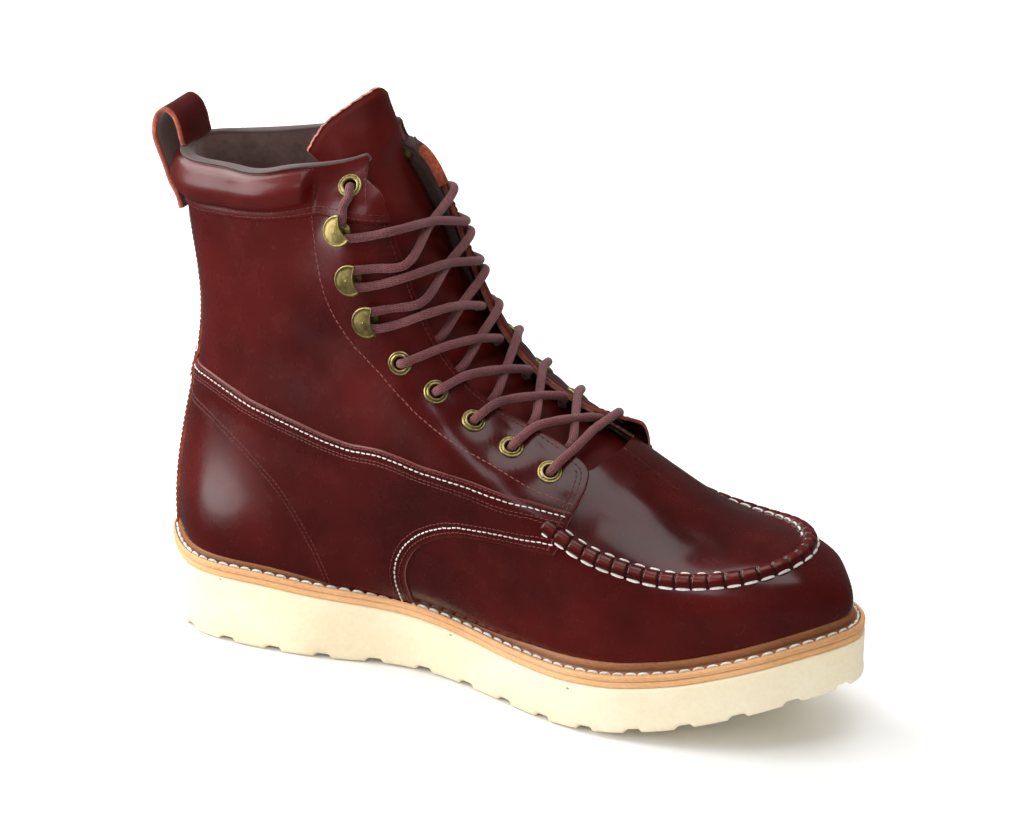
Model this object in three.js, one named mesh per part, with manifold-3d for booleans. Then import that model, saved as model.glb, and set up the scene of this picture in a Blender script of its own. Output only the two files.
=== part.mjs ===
// Wedge sole work boot, left foot. Millimetres, +X to the toe, +Y to the outer
// side of the foot, +Z up. The upper, its overlays, the welt and the insole all
// come from one form: a rib for each station of the sole outline, from the
// feather line up to the collar, the throat or the centre line of the vamp.
import * as THREE from 'three';
import { mergeVertices } from 'three/addons/utils/BufferGeometryUtils.js';
import Module from 'manifold-3d';

const wasm = await Module();
wasm.setup();

// ---------------------------------------------------------------- sizes
const LENGTH = 305;          // outsole, heel back to toe tip
const WALL = 2.2;            // leather of the upper
const GAP = 0.35;            // air between pieces that meet
const MIDSOLE = 2.7;         // board under the welt
const WELT = 2.6;            // welt strip
const LIP_HIGH = 3.6, LIP_WIDE = 1.9;   // storm lip of the welt
const INSOLE = 3;
const LUG_DEEP = 1.4, LUG_GROOVE = 7.5, LUG_PITCH = 21;
const LACE_R = 1.75;
const EYE_R = 4.9, EYE_HOLE = 2.3, EYE_BORE = 2.9;
const ARCH_RISE = 0.5;

// Sole outline, a row per station: x, half width inner side, outer side,
// welt showing inner and outer side, bulge of the wall 12 mm up inner and outer.
const OUTLINE = [
  // x, inner, outer, weltIn, weltOut, bulgeIn, bulgeOut
  [0, 2, -2, 4.5, 4.5, 0.3, 0.3],
  [8, 20, 19, 4.5, 4.5, 0.4, 0.4],
  [25, 36, 31, 4.8, 4.8, 0.8, 0.8],
  [50, 40.5, 37, 5, 5, 1.2, 1.2],
  [85, 37.5, 40, 4.8, 5.2, 2.5, 1.2],
  [120, 31, 45, 4.2, 5.5, 7, 1],
  [155, 37, 52, 5, 6, 6, 1],
  [185, 47, 55.5, 6, 6.2, 3, 0.8],
  [210, 51.5, 53.5, 6.3, 6.3, 1.8, 0.8],
  [240, 48.5, 46, 6.3, 6.3, 1.5, 1],
  [268, 40.5, 35, 6.3, 6.3, 1.5, 1.3],
  [290, 28, 20.5, 6.3, 6.3, 1.5, 1.5],
  [LENGTH, 6, -6, 6.5, 6.5, 1.2, 1.2],
];
// Levels of the upper on the same stations: x, inner, outer, z
const HEEL_CUP = [
  [5.6, 2, -2, 62], [11.5, 15, 14, 62], [26, 27.5, 26.5, 62], [50, 33.5, 33.5, 62], [85, 35.5, 37, 62],
  [120, 38.5, 41, 62], [154, 42.5, 42.5, 62], [184, 45, 44.5, 60], [208.5, 46, 44.8, 57], [240, 43.3, 40.5, 56],
  [266, 35.8, 31, 59], [286, 23, 17, 62.5], [294, 5, -5, 64],
];
const SEAM = [
  [12.3, 1.5, -1.5, 97], [15.8, 10.5, 10, 97], [28, 19.5, 19, 97], [50, 27.5, 28, 97], [83, 35, 35.5, 97],
  [116, 40.5, 40.5, 97], [148, 44, 42.5, 95], [177, 43.3, 42, 86], [204, 42.5, 39.5, 72.5], [238, 39, 35.5, 66.5],
  [263, 30, 25.5, 69], [275.5, 17.5, 11.5, 71.5], [279.5, 4.5, -4.5, 72.5],
];
const ANKLE = [
  [17, 1, -1, 131], [20, 10, 10, 131], [31, 19, 19, 131], [50, 26, 26.5, 131], [79, 32.5, 33, 131],
  [108, 36, 36, 136], [139, 36.5, 35.5, 117], [171, 32.5, 31.5, 100.5], [201, 29, 27.5, 88],
];
const SHAFT = [
  [13, 1, -1, 168], [16, 11, 11, 168], [26, 19.5, 19.5, 169], [46, 26, 26.5, 171], [76, 30.5, 31, 177],
  [104.5, 24.5, 24.5, 199], [130, 23.5, 23.5, 138.5], [164.5, 17, 17, 110.5], [199, 15, 14, 98.5],
];
const TOP = [
  [10.5, 1, -1, 198], [13, 11, 11, 197.5], [22.5, 19, 19, 197], [42, 25, 25, 199], [72, 28.5, 28.5, 205.5],
  [113, 0, 0, 214], [122, 0, 0, 165], [157, 0, 0, 117.5], [197, 0, 0, 102], [233, 0, 0, 80.5],
  [233, 0, 0, 80.5], [233, 0, 0, 80.5], [233, 0, 0, 80.5],
];
// Centre line of the apron, x and z, and the throat opening, x and half width
const APRON_LINE = [[197, 102], [215, 90], [233, 80.5], [250, 77], [265, 75], [285, 73.5]];
const THROAT = [[95, 20], [103, 21], [107.5, 23], [114.6, 24], [128, 23.5], [147, 20], [165, 17], [184, 16.6], [195.5, 22], [230, 22]];
const THROAT_END = 200;
// Bottom edge of the outsole and thickness of the wedge along x
const SPRING = [[0, 0], [195, 0], [220, 2], [245, 7], [270, 14.5], [290, 21], [305, 24.5]];
const WEDGE = [[0, 27.5], [60, 28], [120, 23.5], [165, 19.5], [205, 19.5], [250, 18.7], [305, 18]];
// Lacing from the top down: x, half spacing, z, kind, then the throat edge beside it: x, half spacing, z
const LACING = [
  [94.9, 29, 203, 'eyelet', 104, 21.3, 206], [96.2, 31.7, 184.1, 'hook', 108.7, 23.2, 185], [102.2, 33.4, 166.5, 'hook', 113.5, 24, 167],
  [109.8, 33.6, 150.7, 'hook', 120.5, 24, 152], [120.9, 32.6, 133.7, 'eyelet', 130.5, 23.3, 137], [133.7, 31.6, 121.9, 'eyelet', 141, 21.4, 126],
  [150, 30.7, 112.5, 'eyelet', 154, 18.9, 115], [166.1, 29.6, 104.2, 'eyelet', 170, 17, 106], [182.3, 28.6, 96.3, 'eyelet', 186.5, 17.6, 100],
];
// Hand-sewn ridge round the apron: x, y, z
const MOC = [
  [189, -40.5, 79.5], [204, -42.8, 73], [222, -42.2, 69], [240, -39.2, 67], [256, -34, 68], [268, -27, 70],
  [276, -18, 71.8], [279.5, -8, 72.5], [279.3, 0, 72.3], [275, 12, 71.3], [265, 24, 69.3], [252, 32.2, 67.5],
  [238, 36, 67], [220, 39, 69], [204, 40, 72.8], [191, 40.5, 78],
];
// Tongue along its own centre line: x, z, half width, how far its edges fall back
const TONGUE = [
  [207, 91.5, 17, 3.0], [190, 97, 21, 3.6], [172, 102.5, 25, 6], [156, 109, 27, 8], [142, 117.5, 28.5, 10],
  [130, 130, 29, 11.5], [121, 146, 28, 12], [113.5, 165, 26.5, 12.5], [107, 184, 24, 12], [100.5, 203, 17.5, 8.5], [93.5, 226, 19, 12],
];
const TONGUE_THICK = 2;

// ---------------------------------------------------------------- maths
const V = (x, y, z) => new THREE.Vector3(x, y, z);
const look = (table, x, col = 1) => {
  if (x <= table[0][0]) return table[0][col];
  for (let i = 1; i < table.length; i++) {
    if (x <= table[i][0]) {
      const a = table[i - 1], b = table[i], t = (x - a[0]) / (b[0] - a[0]);
      return a[col] + (b[col] - a[col]) * t;
    }
  }
  return table[table.length - 1][col];
};
const soft = (table, width) => (x) => {           // a table line rounded off at its corners
  let s = 0, w = 0;
  for (let i = -12; i <= 12; i++) {
    const k = Math.exp(-0.5 * (i / 4) ** 2), q = Math.min(310, Math.max(-5, x + (i / 4) * width));
    s += k * look(table, q); w += k;
  }
  return s / w;
};
const springZ = soft(SPRING, 5), wedgeT = soft(WEDGE, 5);
const wedgeTop = (x) => springZ(x) + wedgeT(x);

function gauss(A, R) {                            // dense solve, rows of R are vectors
  const n = A.length, m = R[0].length;
  for (let i = 0; i < n; i++) {
    let p = i;
    for (let r = i + 1; r < n; r++) if (Math.abs(A[r][i]) > Math.abs(A[p][i])) p = r;
    [A[i], A[p]] = [A[p], A[i]]; [R[i], R[p]] = [R[p], R[i]];
    for (let r = i + 1; r < n; r++) {
      const f = A[r][i] / A[i][i];
      if (f === 0) continue;
      for (let c = i; c < n; c++) A[r][c] -= f * A[i][c];
      for (let c = 0; c < m; c++) R[r][c] -= f * R[i][c];
    }
  }
  for (let i = n - 1; i >= 0; i--) {
    for (let c = 0; c < m; c++) {
      for (let k = i + 1; k < n; k++) R[i][c] -= A[i][k] * R[k][c];
      R[i][c] /= A[i][i];
    }
  }
  return R;
}
const zeros = (n) => Array.from({ length: n }, () => new Array(n).fill(0));
function closedCurve(knots, pts) {                // smooth closed curve through a row of points
  const n = pts.length, m = pts[0].length, A = zeros(n), R = pts.map(() => new Array(m).fill(0));
  for (let i = 0; i < n; i++) {
    const im = (i + n - 1) % n, ip = (i + 1) % n, hm = knots[im + 1] - knots[im], hp = knots[i + 1] - knots[i];
    A[i][im] += hm; A[i][i] += 2 * (hm + hp); A[i][ip] += hp;
    for (let c = 0; c < m; c++) R[i][c] = 6 * ((pts[ip][c] - pts[i][c]) / hp - (pts[i][c] - pts[im][c]) / hm);
  }
  const M = gauss(A, R), end = knots[n];
  return (u) => {
    u = ((u % end) + end) % end;
    let i = 0;
    while (i < n - 1 && knots[i + 1] <= u) i++;
    const j = (i + 1) % n, h = knots[i + 1] - knots[i], a = (knots[i + 1] - u) / h, b = 1 - a;
    return pts[i].map((p, c) => a * p + b * pts[j][c] + ((a ** 3 - a) * M[i][c] + (b ** 3 - b) * M[j][c]) * h * h / 6);
  };
}
function openCurve(pts) {                          // smooth open curve, knots by distance
  const n = pts.length, t = [0];
  for (let i = 1; i < n; i++) t.push(t[i - 1] + Math.hypot(...pts[i].map((v, c) => v - pts[i - 1][c])));
  const A = zeros(n), R = pts.map((p) => p.map(() => 0));
  A[0][0] = 1; A[n - 1][n - 1] = 1;
  for (let i = 1; i < n - 1; i++) {
    const hm = t[i] - t[i - 1], hp = t[i + 1] - t[i];
    A[i][i - 1] = hm; A[i][i] = 2 * (hm + hp); A[i][i + 1] = hp;
    for (let c = 0; c < pts[0].length; c++) R[i][c] = 6 * ((pts[i + 1][c] - pts[i][c]) / hp - (pts[i][c] - pts[i - 1][c]) / hm);
  }
  const M = gauss(A, R);
  return (s) => {                                  // s from 0 to 1 along the curve
    const q = s * t[n - 1];
    let i = 0;
    while (i < n - 2 && t[i + 1] <= q) i++;
    const h = t[i + 1] - t[i], a = (t[i + 1] - q) / h, b = 1 - a;
    return pts[i].map((p, c) => a * p + b * pts[i + 1][c] + ((a ** 3 - a) * M[i][c] + (b ** 3 - b) * M[i + 1][c]) * h * h / 6);
  };
}
// station rows to one closed loop: inner side to the toe, then back on the outer side
const loop = (rows, f) => [...rows.map((r) => f(r, 1)), ...rows.slice(1, -1).reverse().map((r) => f(r, 0))];
const xy = (r, inner) => [r[0], inner ? -r[1] : r[2]];
const xyz = (r, inner) => [r[0], inner ? -r[1] : r[2], r[3]];

// ---------------------------------------------------------------- the last
const outPts = loop(OUTLINE, xy), KNOT = [0];
for (let i = 0; i < outPts.length; i++) {
  const a = outPts[i], b = outPts[(i + 1) % outPts.length];
  KNOT.push(KNOT[i] + Math.sqrt(Math.hypot(b[0] - a[0], b[1] - a[1])));
}
const ROUND = KNOT[outPts.length], TOE = KNOT[OUTLINE.length - 1];
const outline = closedCurve(KNOT, outPts);
const weltRow = closedCurve(KNOT, loop(OUTLINE, (r, inner) => (inner ? [r[3], r[5]] : [r[4], r[6]])));
const apronZ = (x) => look(APRON_LINE, x);
for (let k = ANKLE.length; k < SEAM.length; k++) {   // apron dome between its seam and its centre line
  const m = SEAM[k], c = TOP[k];
  for (const [level, t] of [[ANKLE, 0.66], [SHAFT, 0.33]]) {
    const x = c[0] + (m[0] - c[0]) * t;
    level.push([x, m[1] * t, m[2] * t, apronZ(x) + (m[3] - apronZ(m[0])) * t ** 2.2]);
  }
}
const LEVELS = [HEEL_CUP, SEAM, ANKLE, SHAFT, TOP].map((rows) => closedCurve(KNOT, loop(rows, xyz)));
function outward(u) {
  const e = 1e-3, a = outline(u + e), b = outline(u - e), l = Math.hypot(a[0] - b[0], a[1] - b[1]);
  return [(a[1] - b[1]) / l, -(a[0] - b[0]) / l];
}
function footLine(u, inset, z) {                   // outline moved inwards
  const o = outline(u), n = outward(u);
  return [o[0] - n[0] * inset, o[1] - n[1] * inset, z];
}
function rib(u) {
  const o = outline(u), n = outward(u), w = weltRow(u), z = wedgeTop(o[0]) + MIDSOLE + 0.3;
  const f = [o[0] - n[0] * w[0], o[1] - n[1] * w[0], z];
  const a = [f[0] + n[0] * w[1], f[1] + n[1] * w[1], z + 12];
  return openCurve([f, a, ...LEVELS.map((c) => c(u))]);
}
const ribs = new Map();
const ribAt = (u) => { const k = u.toFixed(5); if (!ribs.has(k)) ribs.set(k, rib(u)); return ribs.get(k); };
const inThroat = (p) => {
  const y = Math.abs(p[1]);
  return p[0] > 95 && y < look(THROAT, p[0]) && p[0] < THROAT_END - 4.5 * (y / 22) ** 2;
};
function ribEnd(u) {                               // where the throat cuts the rib
  const r = ribAt(u);
  for (let i = 0; i <= 300; i++) if (inThroat(r(i / 300))) return Math.max(0.2, (i - 0.5) / 300);
  return 1;
}
const face = (u, s) => V(...ribAt(u)(Math.min(1, Math.max(0, s))));
function faceNormal(u, s) {
  const e = 0.02, g = 0.004, s0 = Math.max(0, s - g), s1 = Math.min(1, s + g);
  const a = face(u + e, s).sub(face(u - e, s)), b = face(u, s1).sub(face(u, s0));
  const n = a.cross(b).normalize();
  return n;
}
const probe = faceNormal(KNOT[6], 0.3);
const SIDE = probe.y < 0 ? 1 : -1;                 // station 6 is on the inner side, outwards is -y
const off = (u, s, d) => face(u, s).addScaledVector(faceNormal(u, Math.min(s, 0.985)), SIDE * d);

// stations of the built mesh, closer at toe, heel and throat end
function stations(counts) {
  const us = [];
  for (let i = 0; i < KNOT.length - 1; i++) {
    const n = counts[i < 12 ? i : 23 - i];
    for (let j = 0; j < n; j++) us.push(KNOT[i] + (KNOT[i + 1] - KNOT[i]) * j / n);
  }
  return us;
}

// ---------------------------------------------------------------- meshes
function closedMesh(points, tris) {
  const g = new THREE.BufferGeometry();
  g.setAttribute('position', new THREE.Float32BufferAttribute(points.flatMap((p) => [p.x, p.y, p.z]), 3));
  g.setIndex(tris.flat());
  let v = 0;
  for (const [a, b, c] of tris) v += points[a].dot(points[b].clone().cross(points[c]));
  if (v < 0) g.setIndex(tris.flatMap(([a, b, c]) => [a, c, b]));
  return g;
}
// rings of equal length, each ring closed; first and last ring shut by the given caps
function tube(rings, { closedEnd = false, cap = 'fan' } = {}) {
  const pts = rings.flat(), n = rings[0].length, m = rings.length, tris = [];
  for (let i = 0; i < (closedEnd ? m : m - 1); i++) {
    const k = (i + 1) % m;
    for (let j = 0; j < n; j++) {
      const a = i * n + j, b = i * n + (j + 1) % n, c = k * n + (j + 1) % n, d = k * n + j;
      tris.push([a, b, c], [a, c, d]);
    }
  }
  if (!closedEnd) {
    for (const [base, flip] of [[0, true], [(m - 1) * n, false]]) {
      const add = (a, b, c) => tris.push(flip ? [base + a, base + c, base + b] : [base + a, base + b, base + c]);
      if (cap === 'ladder') {                       // strips from side to side, for long flat outlines
        let i = 0, j = n;                           // i goes up from the heel, j comes down
        while (j - i > 2) { add(i, i + 1, j - 1); add(i, j - 1, j % n); i++; j--; if (i === 0) break; }
        if (j - i === 2) add(i, i + 1, j % n);
      } else for (let i = 1; i < n - 1; i++) add(0, i, i + 1);
    }
  }
  return closedMesh(pts, tris);
}
function solid(geometry) {
  let g = geometry.clone();
  g.deleteAttribute('normal'); g.deleteAttribute('uv');
  g = mergeVertices(g, 1e-4);
  return new wasm.Manifold(new wasm.Mesh({
    numProp: 3, vertProperties: new Float32Array(g.attributes.position.array), triVerts: new Uint32Array(g.index.array),
  }));
}
function fromSolid(s) {
  const m = s.getMesh(), g = new THREE.BufferGeometry();
  g.setAttribute('position', new THREE.Float32BufferAttribute(Array.from(m.vertProperties), 3));
  g.setIndex(Array.from(m.triVerts));
  return g;
}
const turned = (g, matrix) => { const c = g.clone(); c.applyMatrix4(matrix); return c; };
const placeOn = (pos, zDir, xDir = V(1, 0, 0)) => {   // local z to zDir, local x close to xDir
  const z = zDir.clone().normalize(), x = xDir.clone().addScaledVector(z, -xDir.dot(z)).normalize(), y = z.clone().cross(x);
  return new THREE.Matrix4().makeBasis(x, y, z).setPosition(pos);
};

const group = new THREE.Group();
function add(name, geometry, color, roughness = 0.6, metalness = 0) {
  const m = new THREE.Mesh(geometry, new THREE.MeshStandardMaterial({ color, roughness, metalness }));
  m.name = name; group.add(m);
  return m;
}

// ---------------------------------------------------------------- sole
const SOLE_U = stations([2, 2, 2, 2, 2, 2, 2, 2, 2, 2, 2, 2]);
const soleRing = (inset, height) => SOLE_U.map((u) => {
  const o = outline(u), p = footLine(u, inset, 0);
  return V(p[0], p[1], height(o[0]));
});
const arch = (x) => ARCH_RISE * Math.exp(-(((x - 122) / 24) ** 4));
const wedge = tube([
  soleRing(1.2, (x) => springZ(x) + arch(x)), soleRing(0, (x) => springZ(x) + arch(x) + 1.4),
  soleRing(0, (x) => wedgeTop(x)),
], { cap: 'ladder' });
let outsole = solid(wedge);
for (let x = 12; x < 292; x += LUG_PITCH) {
  const g = new THREE.BoxGeometry(LUG_GROOVE, 70, LUG_DEEP * 2);
  const slope = Math.atan2(springZ(x + 2) - springZ(x - 2), 4);
  for (const side of [-1, 1]) {                    // grooves run in from both edges, offset from each other
    const q = x + (side > 0 ? LUG_PITCH / 2 : 0), z = springZ(q) + arch(q);
    const m = new THREE.Matrix4().makeRotationY(-slope).setPosition(V(q, side * (35 + 9), z));
    outsole = outsole.subtract(solid(turned(g, m)));
  }
}
add('outsole', fromSolid(outsole), 0xf0e4c8, 0.85);
add('midsole', tube([
  soleRing(0.5, (x) => wedgeTop(x) + 0.3), soleRing(0.5, (x) => wedgeTop(x) + MIDSOLE),
], { cap: 'ladder' }), 0xd9a56b, 0.8);

// welt: ring on the midsole, its lip stands against the upper
const weltZ = (u) => wedgeTop(outline(u)[0]) + MIDSOLE + 0.3;
function faceAtHeight(u, h) {                       // the upper's face h above the feather
  const r = ribAt(u), z0 = r(0)[2];
  let s = 0;
  while (s < 0.3 && r(s)[2] - z0 < h) s += 0.002;
  return r(s);
}
const weltRings = SOLE_U.map((u) => {
  const n = outward(u), z = weltZ(u), grow = (h, d) => {
    const p = faceAtHeight(u, Math.max(0, h)), o = outline(u);
    const along = (p[0] - o[0]) * n[0] + (p[1] - o[1]) * n[1];
    return V(o[0] + n[0] * (along + d), o[1] + n[1] * (along + d), z + h);
  };
  const edge = (inset, h) => { const p = footLine(u, inset, 0); return V(p[0], p[1], z + h); };
  const inner = grow(0, GAP + 0.1), lipIn = grow(WELT - 0.3 + LIP_HIGH, GAP + 0.1);
  const lipFoot = grow(WELT - 0.3, GAP + LIP_WIDE), lipTop = grow(WELT - 0.3 + LIP_HIGH, GAP + LIP_WIDE * 0.6);
  return [inner, edge(0, 0), edge(0, WELT - 0.3), lipFoot, lipTop, lipIn];
});
add('welt', tube(weltRings, { closedEnd: true }), 0x9c6238, 0.7);

// insole
const insoleRing = (h) => SOLE_U.map((u) => {
  const p = footLine(u, weltRow(u)[0] + WALL + 0.9, 0);
  return V(p[0], p[1], weltZ(u) + h);
});
add('insole', tube([insoleRing(0.05), insoleRing(0.05 + INSOLE)], { cap: 'ladder' }), 0xb98a5e, 0.9);

// ---------------------------------------------------------------- upper
const UPPER_U = stations([2, 2, 2, 2, 4, 3, 3, 5, 2, 2, 2, 2]);
const UPPER_V = [0, 0.06, 0.13, 0.22, 0.33, 0.45, 0.57, 0.68, 0.79, 0.9, 1];
const shell = UPPER_U.map((u) => {
  const end = ribEnd(u), outer = UPPER_V.map((v) => off(u, v * end, 0)), inner = UPPER_V.map((v) => off(u, v * end, -WALL));
  return { u, end, outer, inner };
});
// the vamp ribs meet on the centre line, where both sides share one point
shell.forEach((r, i) => {
  const n = shell.length, mate = i <= n / 2 ? r : shell[n - i], top = mate.outer[UPPER_V.length - 1];
  r.meets = mate.end === 1 && top.x > 190;
  r.centre = mate.u >= KNOT[9] - 1e-6 ? V(...TOP[9].slice(0, 2), TOP[9][3]) : V(top.x, 0, top.z);
});
const closes = (r) => r.meets;
{
  const nv = UPPER_V.length, pts = [], tris = [], at = (i, k, j) => (i * 2 + k) * nv + j;
  for (const r of shell) {
    if (closes(r)) {
      r.outer[nv - 1] = r.centre; r.inner[nv - 1] = V(r.centre.x, 0, r.centre.z - WALL * 1.06);
    }
    pts.push(...r.outer, ...r.inner);
  }
  const n = shell.length;
  for (let i = 0; i < n; i++) {
    const k = (i + 1) % n, both = closes(shell[i]) && closes(shell[k]);
    for (let j = 0; j < nv - 1; j++) {
      tris.push([at(i, 0, j), at(k, 0, j), at(k, 0, j + 1)], [at(i, 0, j), at(k, 0, j + 1), at(i, 0, j + 1)]);
      tris.push([at(i, 1, j), at(k, 1, j + 1), at(k, 1, j)], [at(i, 1, j), at(i, 1, j + 1), at(k, 1, j + 1)]);
    }
    tris.push([at(i, 0, 0), at(i, 1, 0), at(k, 1, 0)], [at(i, 0, 0), at(k, 1, 0), at(k, 0, 0)]);      // feather edge
    if (!both) tris.push([at(i, 0, nv - 1), at(k, 0, nv - 1), at(k, 1, nv - 1)], [at(i, 0, nv - 1), at(k, 1, nv - 1), at(i, 1, nv - 1)]);
  }
  let g = closedMesh(pts, tris);
  g = mergeVertices(g, 1e-3);
  // drop triangles that the merge made empty
  const idx = Array.from(g.index.array), keep = [];
  for (let i = 0; i < idx.length; i += 3) if (idx[i] !== idx[i + 1] && idx[i + 1] !== idx[i + 2] && idx[i] !== idx[i + 2]) keep.push(idx[i], idx[i + 1], idx[i + 2]);
  g.setIndex(keep);
  shell.geometry = g;
}
// where a lacing point sits on the surface
function onFace(x, y, z) {
  let best = [1e9, 0, 0];
  const search = (u0, u1, nu, s0, s1, ns) => {
    for (let i = 0; i <= nu; i++) for (let j = 0; j <= ns; j++) {
      const u = u0 + (u1 - u0) * i / nu, s = s0 + (s1 - s0) * j / ns, p = ribAt(u)(s);
      const d = Math.hypot(p[0] - x, p[1] - y, p[2] - z);
      if (d < best[0]) best = [d, u, s];
    }
  };
  const [lo, hi] = y < 0 ? [0, TOE] : [TOE, ROUND];
  search(lo, hi, 90, 0, 1, 60);
  for (const w of [0.6, 0.12, 0.03]) search(best[1] - w, best[1] + w, 8, Math.max(0, best[2] - w / 14), Math.min(1, best[2] + w / 14), 8);
  return { u: best[1], s: best[2], p: face(best[1], best[2]), n: faceNormal(best[1], best[2]).multiplyScalar(SIDE) };
}
const LACE = LACING.map(([x, y, z, kind, ex, ey, ez], i) => ({
  kind, i: i + 1, m: onFace(x, -y, z), l: onFace(x, y, z), edge: { m: onFace(ex, -ey, ez), l: onFace(ex, ey, ez) },
  half: { m: onFace((x + ex) / 2, -(y + ey) / 2 - 1.5, (z + ez) / 2), l: onFace((x + ex) / 2, (y + ey) / 2 + 1.5, (z + ez) / 2) },
}));
let upper = solid(shell.geometry);
for (const row of LACE) {
  if (row.kind !== 'eyelet') continue;
  for (const side of ['m', 'l']) {
    const q = row[side], hole = new THREE.CylinderGeometry(EYE_BORE, EYE_BORE, 12, 12).rotateX(Math.PI / 2);
    upper = upper.subtract(solid(turned(hole, placeOn(q.p, q.n))));
  }
}
add('upper', fromSolid(upper), 0x5a1414, 0.35);

// ---------------------------------------------------------------- overlays cut from the upper's own form
function overlay(us, vs, low, high) {               // a patch between two offsets of the upper
  const n = us.length, m = vs(us[0]).length, pts = [], tris = [];
  us.forEach((u, i) => vs(u).forEach((s, j) => { pts.push(off(u, s, low(i / (n - 1), j / (m - 1)))); }));
  us.forEach((u, i) => vs(u).forEach((s, j) => { pts.push(off(u, s, high(i / (n - 1), j / (m - 1)))); }));
  const at = (k, i, j) => k * n * m + i * m + j, quad = (a, b, c, d) => tris.push([a, b, c], [a, c, d]);
  for (let i = 0; i < n - 1; i++) for (let j = 0; j < m - 1; j++) {
    quad(at(1, i, j), at(1, i + 1, j), at(1, i + 1, j + 1), at(1, i, j + 1));
    quad(at(0, i, j), at(0, i, j + 1), at(0, i + 1, j + 1), at(0, i + 1, j));
  }
  for (let i = 0; i < n - 1; i++) {
    quad(at(0, i, 0), at(0, i + 1, 0), at(1, i + 1, 0), at(1, i, 0));
    quad(at(0, i, m - 1), at(1, i, m - 1), at(1, i + 1, m - 1), at(0, i + 1, m - 1));
  }
  for (let j = 0; j < m - 1; j++) {
    quad(at(0, 0, j), at(1, 0, j), at(1, 0, j + 1), at(0, 0, j + 1));
    quad(at(0, n - 1, j), at(0, n - 1, j + 1), at(1, n - 1, j + 1), at(1, n - 1, j));
  }
  return closedMesh(pts, tris);
}
function heightFraction(u, z) {                     // rib fraction at a height
  const r = ribAt(u);
  let lo = 0, hi = 1;
  for (let i = 0; i < 26; i++) { const mid = (lo + hi) / 2; if (r(mid)[2] < z) lo = mid; else hi = mid; }
  return lo;
}
const sideRange = (uMax, n) => Array.from({ length: 2 * n + 1 }, (_, i) => ((i - n) / n) * uMax + (i < n ? ROUND : 0));
// backstay from the welt to the collar roll
const BACK_HALF = KNOT[1] * 1.02;
add('backstay', overlay(sideRange(BACK_HALF, 3), (u) => {
  const a = heightFraction(u, 40), b = heightFraction(u, 174);
  return Array.from({ length: 14 }, (_, j) => a + (b - a) * j / 13);
}, () => GAP + 0.35, (i) => 2.5 - 0.9 * Math.abs(2 * i - 1) ** 3), 0x5a1414, 0.35);
// padded collar roll: bulged loop outside the shaft and over its rim
{
  const us = sideRange(KNOT[4] + (KNOT[5] - KNOT[4]) * 0.22, 12), rings = us.map((u, i) => {
    const t = i / (us.length - 1), x = face(u, 1).x, taper = Math.min(1, 7 * Math.min(t, 1 - t) + 0.35);
    const lowZ = 179 + Math.max(0, x - 45) * 0.22 - (Math.abs(x) < 22 ? 2 : 0);
    const a = heightFraction(u, lowZ), at = (f) => a + (1 - a) * f;
    const p = (s, d) => off(u, s, d), rim = face(u, 1), n = faceNormal(u, 0.985).multiplyScalar(SIDE);
    const over = (d, h) => V(rim.x + n.x * d, rim.y + n.y * d, rim.z + h), air = GAP + 0.35 + 0.9 * Math.abs(2 * t - 1) ** 4;
    return [p(at(0.02), air), p(at(0.06), air + 1.2), p(at(0.3), air + 3.6 * taper + 0.4), p(at(0.62), air + 3.9 * taper + 0.4),
      p(at(0.9), air + 2.4 * taper + 0.8), over(air + 0.9, 1.6), over(-WALL - 0.9, 1.7), p(0.985, -WALL - 3.2), p(0.94, -WALL - 3.2),
      p(0.925, -WALL - 1.4), p(0.93, -WALL - air), p(0.97, -WALL - air), over(-WALL - air, air), over(air, air), p(at(0.8), air), p(at(0.4), air)];
  });
  add('collar_pad', tube(rings), 0x541313, 0.35);
}
// hand-sewn ridge
{
  const line = openCurve(MOC), n = 26, rings = [];
  for (let i = 0; i <= n; i++) {
    const p = line(i / n), a = line(Math.max(0, i / n - 0.01)), b = line(Math.min(1, i / n + 0.01));
    const q = onFace(p[0], p[1] || -0.001, p[2]), tan = V(b[0] - a[0], b[1] - a[1], b[2] - a[2]).normalize();
    const side = tan.clone().cross(q.n).normalize(), nrm = side.clone().cross(tan).normalize();
    if (nrm.dot(q.n) < 0) nrm.negate();
    const at = (w, h) => q.p.clone().addScaledVector(side, w).addScaledVector(nrm, h);
    rings.push([at(-2.9, GAP + 0.35), at(-2.1, 2.1), at(0, 3.1), at(2.1, 2.1), at(2.9, GAP + 0.35), at(1.2, GAP + 0.15), at(-1.2, GAP + 0.15)]);
  }
  add('moc_seam', tube(rings), 0x541313, 0.4);
}

// ---------------------------------------------------------------- tongue
{
  const line = openCurve(TONGUE), nu = 15, half = [-1, -0.75, -0.4, 0, 0.4, 0.75, 1], top = [], low = [];
  for (let i = 0; i <= nu; i++) {
    const f = i / nu, r = line(f), a = line(Math.max(0, f - 0.01)), b = line(Math.min(1, f + 0.01));
    const t = V(b[0] - a[0], 0, b[1] - a[1]).normalize(), n = V(t.z, 0, -t.x);   // n points forward and up
    if (n.x + n.z < 0) n.negate();
    const row = (d) => half.map((h) => V(r[0], h * r[2], r[1]).addScaledVector(n, -r[3] * Math.abs(h) ** 2.2 + d));
    top.push(row(-1.4)); low.push(row(-1.4 - TONGUE_THICK).reverse());
  }
  add('tongue', tube(top.map((row, i) => [...row, ...low[i]])), 0x551414, 0.4);
}

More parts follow.
